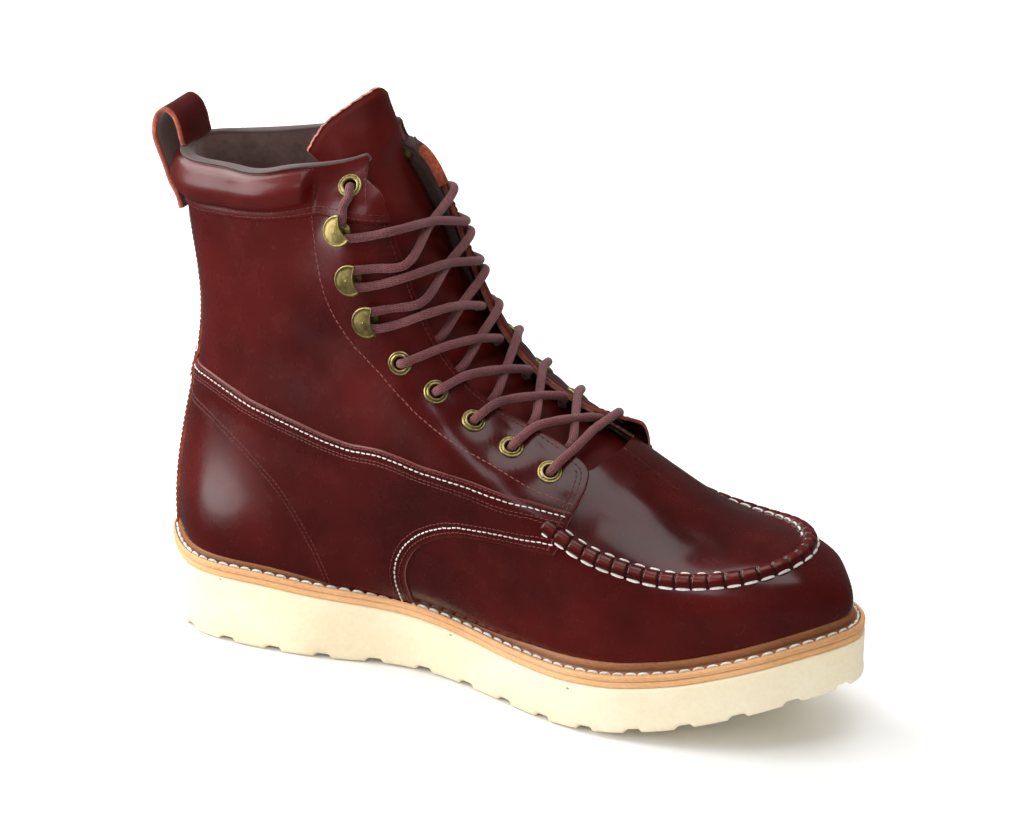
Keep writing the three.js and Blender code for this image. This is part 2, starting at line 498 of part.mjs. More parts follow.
// ---------------------------------------------------------------- pull loop
{
  // strap bent over the back of the collar: x, z of its middle line, from outside over the top to inside
  const path = openCurve([[5.2, 186], [1.6, 196], [-0.3, 204], [0.8, 210.5], [4.6, 213.6], [8.8, 211.2], [10.9, 206.5], [11.3, 203]]);
  const halfW = 10.5, t = 1.1, rings = [];
  for (let i = 0; i <= 17; i++) {
    const f = i / 17, p = path(f), a = path(Math.max(0, f - 0.01)), b = path(Math.min(1, f + 0.01));
    const d = V(b[0] - a[0], 0, b[1] - a[1]).normalize(), n = V(-d.z, 0, d.x);
    const at = (y, h) => V(p[0], y - 1, p[1]).addScaledVector(n, h);
    rings.push([at(-halfW, -t), at(halfW, -t), at(halfW, t), at(-halfW, t)]);
  }
  add('pull_loop', tube(rings), 0x5a1414, 0.4);
}

// ---------------------------------------------------------------- eyelets and hooks
const eyelet = new THREE.LatheGeometry([
  [EYE_HOLE, -WALL - 0.6], [EYE_BORE - 0.3, -WALL - 0.6], [EYE_BORE - 0.3, 1.2], [EYE_R, 1.2],
  [EYE_R - 1.2, 2.1], [EYE_HOLE, 1.6], [EYE_HOLE, -WALL - 0.6],
].map(([r, z]) => new THREE.Vector2(r, z)), 9).rotateX(Math.PI / 2);
// hook plate: round at the back, hollow towards the throat
const plate = new THREE.Shape([
  ...Array.from({ length: 15 }, (_, i) => { const a = Math.PI * (0.33 + 1.34 * i / 14); return new THREE.Vector2(-0.6 + 6.4 * Math.cos(a), 6.4 * Math.sin(a)); }),
  ...[-3.4, 0, 3.4].map((y) => new THREE.Vector2(1.25 + 1.4 * (y / 5.5) ** 2, y)),
]);
const hookParts = [
  new THREE.CylinderGeometry(3, 3.2, 0.8, 12).rotateX(Math.PI / 2).translate(-1.4, 0, 0.95),
  new THREE.CylinderGeometry(1.6, 1.6, 6, 10).rotateX(Math.PI / 2).translate(-1.4, 0, 3.9),
  new THREE.ExtrudeGeometry(plate, { depth: 1.1, bevelEnabled: false }).translate(0, 0, 6.7),
];
let hook = solid(hookParts[0]);
for (const g of hookParts.slice(1)) hook = hook.add(solid(g));
const hookGeometry = fromSolid(hook);
for (const row of LACE) for (const [side, q] of [['m', row.m], ['l', row.l]]) {
  const toThroat = V(0.45, side === 'm' ? 1 : -1, 0);
  const m = placeOn(q.p.clone().addScaledVector(q.n, 0.3), q.n, toThroat);
  add(`${row.kind}_${side}${row.i}`, turned(row.kind === 'eyelet' ? eyelet : hookGeometry, m), 0x8a7440, 0.4, 0.9);
}

// ---------------------------------------------------------------- lace
// a round cord over the tongue; each bar or crossing is one solid
function cord(points) {
  const curve = new THREE.CatmullRomCurve3(points, false, 'centripetal');
  const shape = new THREE.Shape(Array.from({ length: 8 }, (_, i) => new THREE.Vector2(LACE_R * Math.cos(i * Math.PI / 4), LACE_R * Math.sin(i * Math.PI / 4))));
  return new THREE.ExtrudeGeometry(shape, { steps: Math.max(4, Math.round(curve.getLength() / 10.5)), bevelEnabled: false, extrudePath: curve });
}
const row = (i) => LACE[i - 1];
const upward = (i, side) => {                       // direction up the lacing at a row
  const a = row(Math.min(9, i + 1))[side].p, b = row(Math.max(1, i - 1))[side].p;
  return b.clone().sub(a).normalize();
};
const OVER = LACE_R + 1.9, BESIDE = 2.65;
const inward = (side, d) => V(0, side === 'm' ? d : -d, 0);
// over the throat edge and on to the eyelet or hook
const arrive = (i, side) => {
  const r = row(i), e = r.edge[side], q = r[side], up = upward(i, side), hook = r.kind === 'hook', d = hook ? -BESIDE : 0;
  return [
    e.p.clone().addScaledVector(e.n, OVER).addScaledVector(up, d),
    r.half[side].p.clone().addScaledVector(r.half[side].n, hook ? 4 : 7).addScaledVector(up, d * 1.5),
    q.p.clone().addScaledVector(q.n, hook ? 4 : 6.7).addScaledVector(up, d * 1.9).add(inward(side, hook ? 1.5 : 2.2)),
  ];
};
// from under the throat edge, or from the upper side of a hook
const leave = (i, side) => {
  const r = row(i), e = r.edge[side], q = r[side], up = upward(i, side);
  if (r.kind === 'hook') return [
    q.p.clone().addScaledVector(q.n, 4).addScaledVector(up, BESIDE * 1.9).add(inward(side, 1.5)),
    r.half[side].p.clone().addScaledVector(r.half[side].n, 4).addScaledVector(up, BESIDE * 1.5),
    e.p.clone().addScaledVector(e.n, OVER).addScaledVector(up, BESIDE),
  ];
  return [e.p.clone().addScaledVector(up, 4.5).addScaledVector(e.n, -0.2).add(inward(side, LACE_R + 1.6))];
};
{
  const a = arrive(9, 'm'), b = arrive(9, 'l'), mid = a[0].clone().lerp(b[0], 0.5).add(V(0.6, 0, 2.2));
  add('lace_bar_9', cord([...a.reverse(), mid, ...b]), 0x7c4347, 0.8);
}
for (const [lowRow, highRow] of [[9, 8], [8, 7], [7, 6], [6, 5], [5, 4], [4, 3], [3, 2]]) {
  const bars = [['l', 'm', 1], ['m', 'l', 0]].map(([from, to, top]) => {
    const a = leave(lowRow, from), b = arrive(highRow, to), near = a[a.length - 1];
    const mid = near.clone().lerp(b[0], 0.5).addScaledVector(V(0.8, 0, 0.6), a.length > 1 ? 1 + top : 2.4 + top);
    return solid(cord([...a, mid, ...b]));
  });
  add(`lace_cross_${lowRow}`, fromSolid(bars[0].add(bars[1])), 0x7c4347, 0.8);
}
for (const side of ['m', 'l']) {
  const q = row(2)[side], t = row(1)[side], up = upward(2, side);
  const a = q.p.clone().addScaledVector(q.n, 4.4).addScaledVector(up, 7.8), b = t.p.clone().addScaledVector(t.n, 5.6).addScaledVector(up, -3.2);
  add(`lace_end_${side}`, cord([a, a.clone().lerp(b, 0.5), b]), 0x7c4347, 0.8);
}

// ---------------------------------------------------------------- origin: bottom centre of the whole boot
{
  const box = new THREE.Box3().setFromObject(group), c = box.getCenter(V(0, 0, 0));
  group.position.set(-c.x, -c.y, -box.min.z);
  group.updateMatrixWorld(true);
}

export default group;
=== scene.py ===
"""Looks of a moc-toe lace-up boot on a wedge sole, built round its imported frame."""
import math
import bpy
import numpy as np
from mathutils import Matrix, Vector
from mathutils.geometry import delaunay_2d_cdt


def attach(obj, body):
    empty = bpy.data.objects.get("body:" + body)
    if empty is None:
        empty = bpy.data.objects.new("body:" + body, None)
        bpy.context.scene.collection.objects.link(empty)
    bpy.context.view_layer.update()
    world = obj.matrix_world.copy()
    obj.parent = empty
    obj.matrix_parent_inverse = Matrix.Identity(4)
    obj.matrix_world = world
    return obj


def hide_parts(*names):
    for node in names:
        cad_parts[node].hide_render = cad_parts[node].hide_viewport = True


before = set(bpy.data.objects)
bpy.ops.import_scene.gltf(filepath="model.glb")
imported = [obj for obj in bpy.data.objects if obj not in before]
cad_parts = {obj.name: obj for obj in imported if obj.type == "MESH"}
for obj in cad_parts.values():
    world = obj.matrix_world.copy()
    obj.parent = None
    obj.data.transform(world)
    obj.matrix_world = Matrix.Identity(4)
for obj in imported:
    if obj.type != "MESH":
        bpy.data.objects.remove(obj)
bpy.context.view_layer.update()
rng = np.random.default_rng(11)
# ------------------------------------------------------------------ form
# All sizes here are millimetres in the boot's own frame: x forward from the back of the
# heel, y to the outer side, z up from the floor.
LENGTH, WALL, MID, WELT_T = 305.0, 2.2, 2.7, 2.6
# x, inner half width, outer half width
OUT = [(0, 2, -2), (8, 20, 19), (25, 36, 31), (50, 40.5, 37), (85, 37.5, 40), (120, 31, 45), (155, 37, 52), (185, 47, 55.5),
       (210, 51.5, 53.5), (240, 48.5, 46), (268, 40.5, 35), (290, 28, 20.5), (305, 6, -6)]
# welt showing inner, outer; bulge of the wall inner, outer
WELT = [(4.5, 4.5, .3, .3), (4.5, 4.5, .4, .4), (4.8, 4.8, .8, .8), (5, 5, 1.2, 1.2), (4.8, 5.2, 2.5, 1.2), (4.2, 5.5, 7, 1), (5, 6, 6, 1),
        (6, 6.2, 3, .8), (6.3, 6.3, 1.8, .8), (6.3, 6.3, 1.5, 1), (6.3, 6.3, 1.5, 1.3), (6.3, 6.3, 1.5, 1.5), (6.5, 6.5, 1.2, 1.2)]
# levels of the upper: x, inner, outer, z
HEEL_CUP = [(5.6, 2, -2, 62), (11.5, 15, 14, 62), (26, 27.5, 26.5, 62), (50, 33.5, 33.5, 62), (85, 35.5, 37, 62), (120, 38.5, 41, 62),
            (154, 42.5, 42.5, 62), (184, 45, 44.5, 60), (208.5, 46, 44.8, 57), (240, 43.3, 40.5, 56), (266, 35.8, 31, 59), (286, 23, 17, 62.5), (294, 5, -5, 64)]
SEAM = [(12.3, 1.5, -1.5, 97), (15.8, 10.5, 10, 97), (28, 19.5, 19, 97), (50, 27.5, 28, 97), (83, 35, 35.5, 97), (116, 40.5, 40.5, 97),
        (148, 44, 42.5, 95), (177, 43.3, 42, 86), (204, 42.5, 39.5, 72.5), (238, 39, 35.5, 66.5), (263, 30, 25.5, 69), (275.5, 17.5, 11.5, 71.5), (279.5, 4.5, -4.5, 72.5)]
ANKLE = [(17, 1, -1, 131), (20, 10, 10, 131), (31, 19, 19, 131), (50, 26, 26.5, 131), (79, 32.5, 33, 131), (108, 36, 36, 136),
         (139, 36.5, 35.5, 117), (171, 32.5, 31.5, 100.5), (201, 29, 27.5, 88)]
SHAFT = [(13, 1, -1, 168), (16, 11, 11, 168), (26, 19.5, 19.5, 169), (46, 26, 26.5, 171), (76, 30.5, 31, 177), (104.5, 24.5, 24.5, 199),
         (130, 23.5, 23.5, 138.5), (164.5, 17, 17, 110.5), (199, 15, 14, 98.5)]
TOP = [(10.5, 1, -1, 198), (13, 11, 11, 197.5), (22.5, 19, 19, 197), (42, 25, 25, 199), (72, 28.5, 28.5, 205.5), (113, 0, 0, 214),
       (122, 0, 0, 165), (157, 0, 0, 117.5), (197, 0, 0, 102), (233, 0, 0, 80.5), (233, 0, 0, 80.5), (233, 0, 0, 80.5), (233, 0, 0, 80.5)]
APRON_LINE = [(197, 102), (215, 90), (233, 80.5), (250, 77), (265, 75), (285, 73.5)]
THROAT = [(95, 20), (103, 21), (107.5, 23), (114.6, 24), (128, 23.5), (147, 20), (165, 17), (184, 16.6), (195.5, 22), (230, 22)]
SPRING = [(0, 0), (195, 0), (220, 2), (245, 7), (270, 14.5), (290, 21), (305, 24.5)]
WEDGE = [(0, 27.5), (60, 28), (120, 23.5), (165, 19.5), (205, 19.5), (250, 18.7), (305, 18)]

A = lambda t: np.array(t, float)
GX = np.linspace(-8, 313, 643)
def soft(table, width=5.0):
    t = A(table); z = np.interp(GX, t[:, 0], t[:, 1]); n = int(3 * width / 0.5)
    k = np.exp(-0.5 * (np.arange(-n, n + 1) * 0.5 / width) ** 2); k /= k.sum()
    return np.convolve(np.pad(z, n, mode="edge"), k, "valid")
_sp, _wd, _th = soft(SPRING), soft(WEDGE), soft(THROAT, 3.0)
spring_z = lambda x: np.interp(x, GX, _sp)
wedge_top = lambda x: np.interp(x, GX, _sp + _wd)
throat_half = lambda x: np.interp(x, GX, _th)

class Loop:
    """Smooth closed curve through a row of points."""
    def __init__(s, t, P):
        s.t, s.P, n = t, A(P), len(P); h = np.diff(t); M = np.zeros((n, n)); R = np.zeros_like(s.P)
        for i in range(n):
            hm, hp, a, b = h[i - 1], h[i], (i - 1) % n, (i + 1) % n
            M[i, a] += hm; M[i, i] += 2 * (hm + hp); M[i, b] += hp
            R[i] = 6 * ((s.P[b] - s.P[i]) / hp - (s.P[i] - s.P[a]) / hm)
        s.M, s.n = np.linalg.solve(M, R), n
    def __call__(s, u):
        u = np.mod(u, s.t[-1]); i = np.clip(np.searchsorted(s.t, u, side="right") - 1, 0, s.n - 1); j = (i + 1) % s.n
        h = (s.t[i + 1] - s.t[i])[..., None]; a = (s.t[i + 1] - u)[..., None] / h; b = 1 - a
        return a * s.P[i] + b * s.P[j] + ((a ** 3 - a) * s.M[i] + (b ** 3 - b) * s.M[j]) * h * h / 6

def ring(rows):
    med = [(r[0], -r[1], *r[3:]) for r in rows]; lat = [(r[0], r[2], *r[3:]) for r in rows[1:-1]]
    return A(med + lat[::-1])
O3 = ring(OUT)
T = np.r_[0, np.cumsum(np.sqrt(np.linalg.norm(np.diff(np.r_[O3, O3[:1]], axis=0), axis=1)))]
ROUND = T[-1]
outline = Loop(T, O3)
welt_row = Loop(T, [(w[0], w[2]) for w in WELT] + [(w[1], w[3]) for w in WELT[1:-1]][::-1])
def outward(u):
    a = outline(u + 1e-3) - outline(u - 1e-3); a /= np.linalg.norm(a, axis=-1, keepdims=True)
    return np.stack([a[..., 1], -a[..., 0]], -1)
apron_z = lambda x: np.interp(x, A(APRON_LINE)[:, 0], A(APRON_LINE)[:, 1])
for _k in range(len(ANKLE), 13):
    _m, _c = SEAM[_k], TOP[_k]
    for _lv, _t in ((ANKLE, .66), (SHAFT, .33)):
        _x = _c[0] + (_m[0] - _c[0]) * _t
        _lv.append((_x, _m[1] * _t, _m[2] * _t, float(apron_z(_x) + (_m[3] - apron_z(_m[0])) * _t ** 2.2)))
LEVELS = [Loop(T, ring(t)) for t in (HEEL_CUP, SEAM, ANKLE, SHAFT, TOP)]

def ribs(u, s):
    """Points (len(u), m, 3) at fractions s of each rib, from the feather line up."""
    o, n, w = outline(u), outward(u), welt_row(u)
    f = o - n * w[:, :1]; zf = wedge_top(o[:, 0]) + MID + 0.3; a = f + n * w[:, 1:2]
    P = np.stack([np.c_[f, zf], np.c_[a, zf + 12]] + [l(u) for l in LEVELS], 1)
    t = np.concatenate([np.zeros((len(u), 1)), np.cumsum(np.linalg.norm(np.diff(P, axis=1), axis=2), axis=1)], 1)
    m = t.shape[1]; h = np.diff(t, axis=1); M = np.zeros((len(u), m, m)); R = np.zeros((len(u), m, 3)); M[:, 0, 0] = M[:, -1, -1] = 1
    for i in range(1, m - 1):
        M[:, i, i - 1] = h[:, i - 1]; M[:, i, i] = 2 * (h[:, i - 1] + h[:, i]); M[:, i, i + 1] = h[:, i]
        R[:, i] = 6 * ((P[:, i + 1] - P[:, i]) / h[:, i:i + 1] - (P[:, i] - P[:, i - 1]) / h[:, i - 1:i])
    M = np.linalg.solve(M, R); q = s * t[:, -1:]; i = np.clip((q[:, :, None] >= t[:, None, :]).sum(2) - 1, 0, m - 2)
    I = np.arange(len(u))[:, None]; h = (t[I, i + 1] - t[I, i])[..., None]; a = (t[I, i + 1] - q)[..., None] / h; b = 1 - a
    return a * P[I, i] + b * P[I, i + 1] + ((a ** 3 - a) * M[I, i] + (b ** 3 - b) * M[I, i + 1]) * h * h / 6

class Face:
    """The closed form of the upper as a fine grid, smoothed where the shaft turns into the instep."""
    NU, NS = 520, 170
    def __init__(s):
        # equal steps along the outline rather than in the knot parameter
        uu = np.linspace(0, ROUND, 4001); o = outline(uu); d = np.r_[0, np.cumsum(np.linalg.norm(np.diff(o, axis=0), axis=1))]
        s.len = d[-1]; s.uu, s.dd = uu, d
        s.u = np.interp(np.linspace(0, d[-1], s.NU, endpoint=False), d, uu)
        G = ribs(s.u, np.linspace(0, 1, s.NS)[None].repeat(s.NU, 0))
        x = G[..., 0]; k = np.interp(s.u, T, np.arange(len(T))); k = np.minimum(k, 24 - k)[:, None]
        v = np.linspace(0, 1, s.NS)[None]
        smooth = lambda a, b, q: np.clip((q - a) / (b - a), 0, 1) ** 2 * (3 - 2 * np.clip((q - a) / (b - a), 0, 1))
        mask = smooth(3.2, 4.2, k) * (1 - smooth(8.4, 9.2, k)) * smooth(.42, .6, v) + smooth(8.4, 9.2, k) * smooth(.62, .75, v) * .6
        mask = np.clip(mask, 0, 1)[..., None]
        lock = 1 - smooth(.985, 1.0, v)[..., None] * (k < 4.9)[..., None]
        for _ in range(90):
            L = np.roll(G, 1, 0) + np.roll(G, -1, 0)
            U = np.concatenate([G[:, 1:], 2 * G[:, -1:] - G[:, -2:-1]], 1); D = np.concatenate([G[:, :1], G[:, :-1]], 1)
            G = G + (0.25 * (L + U + D) - G) * mask * lock * 0.8
        s.P = G; s._normals(); s._trim()
    def _normals(s):
        G = s.P; a = np.roll(G, -1, 0) - np.roll(G, 1, 0); b = np.gradient(G, axis=1)
        n = np.cross(a, b); l = np.linalg.norm(n, axis=2, keepdims=True); n = n / np.maximum(l, 1e-9)
        n[:, -2:] = n[:, -3:-2]                      # ribs that share an end take the normal just before it
        c = G - A([120, 0, 60]); flip = (n[60, 40] * c[60, 40]).sum() < 0
        s.N = -n if flip else n
    def _trim(s):
        x, y = s.P[..., 0], np.abs(s.P[..., 1])
        g = np.maximum(np.maximum(y - throat_half(x), (x - (200 - 4.5 * (y / 22) ** 2))), 95 - x)
        s.end = np.ones(s.NU)
        for i in range(s.NU):
            j = np.nonzero(g[i] < 0)[0]
            if len(j):
                j = j[0]; t = g[i, j - 1] / (g[i, j - 1] - g[i, j]); s.end[i] = (j - 1 + t) / (s.NS - 1)
    def _get(s, F, a, v):
        """Cubic look-up; a is the distance round the outline as a fraction, v the fraction of the rib."""
        a = np.mod(a, 1.0) * s.NU; v = np.clip(v, 0, 1) * (s.NS - 1); i = np.floor(a).astype(int); j = np.minimum(np.floor(v).astype(int), s.NS - 2); fa, fv = a - i, v - j
        w = lambda f: (-.5 * f + f * f - .5 * f ** 3, 1 - 2.5 * f * f + 1.5 * f ** 3, .5 * f + 2 * f * f - 1.5 * f ** 3, -.5 * f * f + .5 * f ** 3)
        wa, wv = w(fa), w(fv); r = 0
        for p in range(4):
            for q in range(4):
                jj = np.clip(j + q - 1, 0, s.NS - 1); r = r + F[(i + p - 1) % s.NU, jj] * (wa[p] * wv[q])[..., None]
        return r
    def at(s, a, v, d=0.0):
        a, v = np.broadcast_arrays(np.asarray(a, float), np.asarray(v, float))
        P = s._get(s.P, a, v); N = s._get(s.N, a, v); N = N / np.linalg.norm(N, axis=-1, keepdims=True)
        return P + N * np.asarray(d, float)[..., None] if np.ndim(d) else P + N * d
    def nrm(s, a, v):
        N = s._get(s.N, np.asarray(a, float), np.asarray(v, float)); return N / np.linalg.norm(N, axis=-1, keepdims=True)
    def end_at(s, a):
        a = np.mod(a, 1.0) * s.NU; i = np.floor(a).astype(int) % s.NU; f = a - np.floor(a)
        return s.end[i] * (1 - f) + s.end[(i + 1) % s.NU] * f
    def find(s, Q, side=0):
        """(a, v) of the surface points nearest to Q."""
        Q = np.atleast_2d(A(Q)); out = []
        G = s.P.reshape(-1, 3)
        for q in Q:
            d = ((G - q) ** 2).sum(1)
            if side: d = d + 1e6 * (G[:, 1] * side < -3)
            i = int(d.argmin()); a, v = (i // s.NS) / s.NU, (i % s.NS) / (s.NS - 1)
            ha, hv = 1.2 / s.NU, 1.2 / s.NS
            for _ in range(4):
                aa = a + ha * np.linspace(-1, 1, 7)[:, None] + np.zeros((7, 7)); vv = np.clip(v + hv * np.linspace(-1, 1, 7)[None] + np.zeros((7, 7)), 0, 1)
                e = ((s.at(aa, vv) - q) ** 2).sum(-1); k = int(e.argmin()); a, v = aa.flat[k], vv.flat[k]; ha /= 3; hv /= 3
            out.append((a, v))
        return np.array(out)
# ------------------------------------------------------------------ camera
ORIGIN = np.array([-151.766, -2.0, 0.0])          # boot frame (mm) to the row's frame
def place(P):
    return (np.asarray(P, float) + ORIGIN) * 0.001

def add_camera():
    eye = np.array([932.6, -1591.4, 857.5])
    p = math.radians(24.17)
    fwd = np.array([-0.4848 * math.cos(p), 0.8746 * math.cos(p), -math.sin(p)])
    right = np.array([0.8746, 0.4848, 0.0]); up = np.cross(right, fwd)
    look = fwd * 3484.1 + right * (673 - 512) + up * (409.5 - 337)
    look /= np.linalg.norm(look)
    right = np.cross(look, [0, 0, 1]); right /= np.linalg.norm(right); up = np.cross(right, look)
    cam = bpy.data.cameras.new("camera"); ob = bpy.data.objects.new("camera", cam)
    bpy.context.collection.objects.link(ob)
    e = place(eye)
    ob.matrix_world = Matrix([[right[i], up[i], -look[i], e[i]] for i in range(3)] + [[0, 0, 0, 1]])
    cam.lens = 171.5; cam.sensor_width = 36; cam.clip_start = 0.05; cam.clip_end = 60
    bpy.context.scene.camera = ob
add_camera()
# ------------------------------------------------------------------ materials
def lin(r, g, b):
    f = lambda c: c / 12.92 if c <= .04045 else ((c + .055) / 1.055) ** 2.4
    return (f(r / 255), f(g / 255), f(b / 255), 1.0)

class Mat:
    """Small helper round one procedural node material."""
    def __init__(s, name):
        s.m = bpy.data.materials.new(name); s.m.use_nodes = True
        s.t = s.m.node_tree; s.t.nodes.clear()
        s.out = s.t.nodes.new("ShaderNodeOutputMaterial"); s.b = s.t.nodes.new("ShaderNodeBsdfPrincipled")
        s.t.links.new(s.b.outputs[0], s.out.inputs[0])
        s.tc = s.t.nodes.new("ShaderNodeTexCoord").outputs["Object"]
    def link(s, a, b): s.t.links.new(a, b)
    def scale(s, x, y, z):
        n = s.t.nodes.new("ShaderNodeMapping"); n.inputs["Scale"].default_value = (x, y, z); s.link(s.tc, n.inputs[0]); return n.outputs[0]
    def noise(s, scale, detail=4, rough=.5, vec=None, distort=0):
        n = s.t.nodes.new("ShaderNodeTexNoise"); n.inputs["Scale"].default_value = scale; n.inputs["Detail"].default_value = detail
        n.inputs["Roughness"].default_value = rough; n.inputs["Distortion"].default_value = distort
        s.link(vec or s.tc, n.inputs["Vector"]); return n.outputs[0]
    def cells(s, scale, feature="F1", vec=None):
        n = s.t.nodes.new("ShaderNodeTexVoronoi"); n.feature = feature; n.inputs["Scale"].default_value = scale
        s.link(vec or s.tc, n.inputs["Vector"]); return n.outputs["Distance"]
    def ramp(s, fac, stops):
        n = s.t.nodes.new("ShaderNodeValToRGB"); e = n.color_ramp.elements
        while len(e) < len(stops): e.new(.5)
        for i, (p, c) in enumerate(stops):
            e[i].position = p; e[i].color = c if len(c) == 4 else (*c, 1)
        s.link(fac, n.inputs[0]); return n.outputs[0]
    def span(s, v, a, b, c, d):
        n = s.t.nodes.new("ShaderNodeMapRange")
        for k, q in zip(("From Min", "From Max", "To Min", "To Max"), (a, b, c, d)): n.inputs[k].default_value = q
        s.link(v, n.inputs["Value"]); return n.outputs[0]
    def mix(s, fac, a, b, kind="MIX"):
        n = s.t.nodes.new("ShaderNodeMix"); n.data_type = "RGBA"; n.blend_type = kind
        for v, i in ((fac, 0), (a, 6), (b, 7)):
            if isinstance(v, (int, float)): n.inputs[i].default_value = v
            elif isinstance(v, tuple): n.inputs[i].default_value = v
            else: s.link(v, n.inputs[i])
        return n.outputs[2]
    def math(s, op, a, b=0.0):
        n = s.t.nodes.new("ShaderNodeMath"); n.operation = op
        for i, v in enumerate((a, b)):
            if isinstance(v, (int, float)): n.inputs[i].default_value = v
            else: s.link(v, n.inputs[i])
        return n.outputs[0]
    def attr(s, name):
        n = s.t.nodes.new("ShaderNodeAttribute"); n.attribute_name = name; return n.outputs["Fac"]
    def bump(s, height, strength, dist, prev=None):
        n = s.t.nodes.new("ShaderNodeBump"); n.inputs["Strength"].default_value = strength; n.inputs["Distance"].default_value = dist
        s.link(height, n.inputs["Height"])
        if prev is not None: s.link(prev, n.inputs["Normal"])
        return n.outputs[0]
    def set(s, **k):
        names = dict(color="Base Color", rough="Roughness", metal="Metallic", coat="Coat Weight", coat_rough="Coat Roughness", ior="IOR", spec="Specular IOR Level",
                     sheen="Sheen Weight", sheen_rough="Sheen Roughness", normal="Normal", coat_normal="Coat Normal", sheen_tint="Sheen Tint", coat_tint="Coat Tint")
        for q, v in k.items():
            i = s.b.inputs[names[q]]
            if isinstance(v, (int, float, tuple)): i.default_value = v
            else: s.link(v, i)
        return s.m

def leather(name, dark, mid, light, rough=(.22, .30), coat=.16, coat_rough=.13, grain=.10, folds=True):
    m = Mat(name)
    big = m.noise(16, 3, .55); mott = m.noise(95, 5, .6); fine = m.noise(900, 3, .6)
    c = m.ramp(m.math("ADD", m.math("MULTIPLY", big, .86), m.math("MULTIPLY", mott, .14)), [(.34, dark), (.5, mid), (.68, light)])
    c = m.mix(m.span(fine, .45, .75, 0, .22), c, dark)
    # rubbed edges and crests show the lighter, redder skin; worn is painted by the mesh code
    worn = m.attr("worn"); c = m.mix(m.math("MULTIPLY", worn, m.span(mott, .3, .65, .35, 1)), c, lin(112, 32, 20))
    # painted shade from the mesh's dark value: the crevice behind the welt's lip and the apron ridge's puckers and
    # feet; also the collar's darker lower edge
    shade_and_edge_dark = m.attr("dark"); c = m.mix(shade_and_edge_dark, c, lin(22, 5, 5))
    pores = m.cells(1900); h = m.math("ADD", m.span(pores, 0, .5, 0, 1), m.math("MULTIPLY", m.noise(1300, 3, .6), .8))
    n = m.bump(h, grain, .00008)
    n = m.bump(m.noise(120, 2, .4), .035, .0004, n)
    r = m.span(mott, .3, .7, rough[0], rough[1])
    r = m.math("ADD", r, m.math("MULTIPLY", worn, .12))
    return m.set(color=c, rough=r, coat=coat, coat_rough=coat_rough, ior=1.5, normal=n, spec=.3)

def raw_edge(name):
    m = Mat(name); f = m.noise(700, 5, .7); g = m.noise(120, 4, .6)
    c = m.ramp(m.math("ADD", m.math("MULTIPLY", f, .5), m.math("MULTIPLY", g, .5)), [(.35, lin(96, 30, 16)), (.5, lin(152, 62, 34)), (.66, lin(196, 104, 66))])
    return m.set(color=c, rough=.88, normal=m.bump(f, .7, .0006), sheen=.3, sheen_rough=.5)

def thread(name, a, b, rough=.6, coat=0.0):
    m = Mat(name); f = m.noise(1500, 3, .6); g = m.noise(60, 3, .5)
    c = m.ramp(m.math("ADD", m.math("MULTIPLY", f, .45), m.math("MULTIPLY", g, .55)), [(.38, a), (.6, b)])
    return m.set(color=c, rough=rough, normal=m.bump(m.noise(2600, 2, .5), .4, .0002), coat=coat, coat_rough=.25)

LEATHER = leather("oxblood_leather", lin(50, 5, 4), lin(68, 8, 6), lin(85, 13, 9), coat=.2)
COLLAR = leather("oxblood_collar", lin(52, 5, 5), lin(72, 8, 6), lin(90, 13, 9), rough=(.26, .4), grain=.24)
# the tongue's softer skin is also a lighter red than the upper's: painted light against the shade in the throat
TONGUE_SKIN = leather("oxblood_tongue", lin(56, 7, 5), lin(78, 11, 8), lin(100, 19, 12), rough=(.3, .42), coat=.1, grain=.3)
STRAP = leather("oxblood_strap", lin(54, 10, 8), lin(84, 17, 12), lin(108, 26, 18), rough=(.32, .44), coat=.08, grain=.26)
RAW = raw_edge("raw_edge")
WHITE_THREAD = thread("white_thread", lin(196, 186, 176), lin(240, 234, 226), .55)
RED_THREAD = thread("dark_red_thread", lin(70, 18, 15), lin(120, 44, 36), .5)
PINK_THREAD = thread("faded_red_thread", lin(112, 52, 46), lin(166, 98, 88), .5)
WELT_THREAD = thread("welt_thread", lin(200, 192, 180), lin(244, 238, 226), .6)

def lining_material():
    m = Mat("lining"); a = m.noise(30, 3, .5); f = m.noise(420, 4, .6)
    # painted shade from the mesh's dark value low down inside the boot; the same value gives the collar's rim binding
    # its darker colour
    c = m.ramp(m.math("ADD", m.math("MULTIPLY", a, .6), m.math("MULTIPLY", f, .4)), [(.35, lin(84, 62, 56)), (.65, lin(118, 92, 85))]); c = m.mix(m.attr("dark"), c, lin(46, 24, 22))
    n = m.bump(m.cells(900, "DISTANCE_TO_EDGE"), .22, .0002); n = m.bump(m.noise(120, 4, .55), .3, .0008, n)
    return m.set(color=c, rough=.62, normal=n, sheen=.25, sheen_rough=.4)
LINING = lining_material()

def suede_material():
    m = Mat("flesh_side"); a = m.noise(40, 4, .6); f = m.noise(1100, 4, .7)
    c = m.ramp(m.math("ADD", m.math("MULTIPLY", a, .5), m.math("MULTIPLY", f, .5)), [(.35, lin(70, 34, 26)), (.65, lin(118, 66, 50))])
    return m.set(color=c, rough=.9, normal=m.bump(f, .5, .0004), sheen=.4, sheen_rough=.5)
FLESH = suede_material()

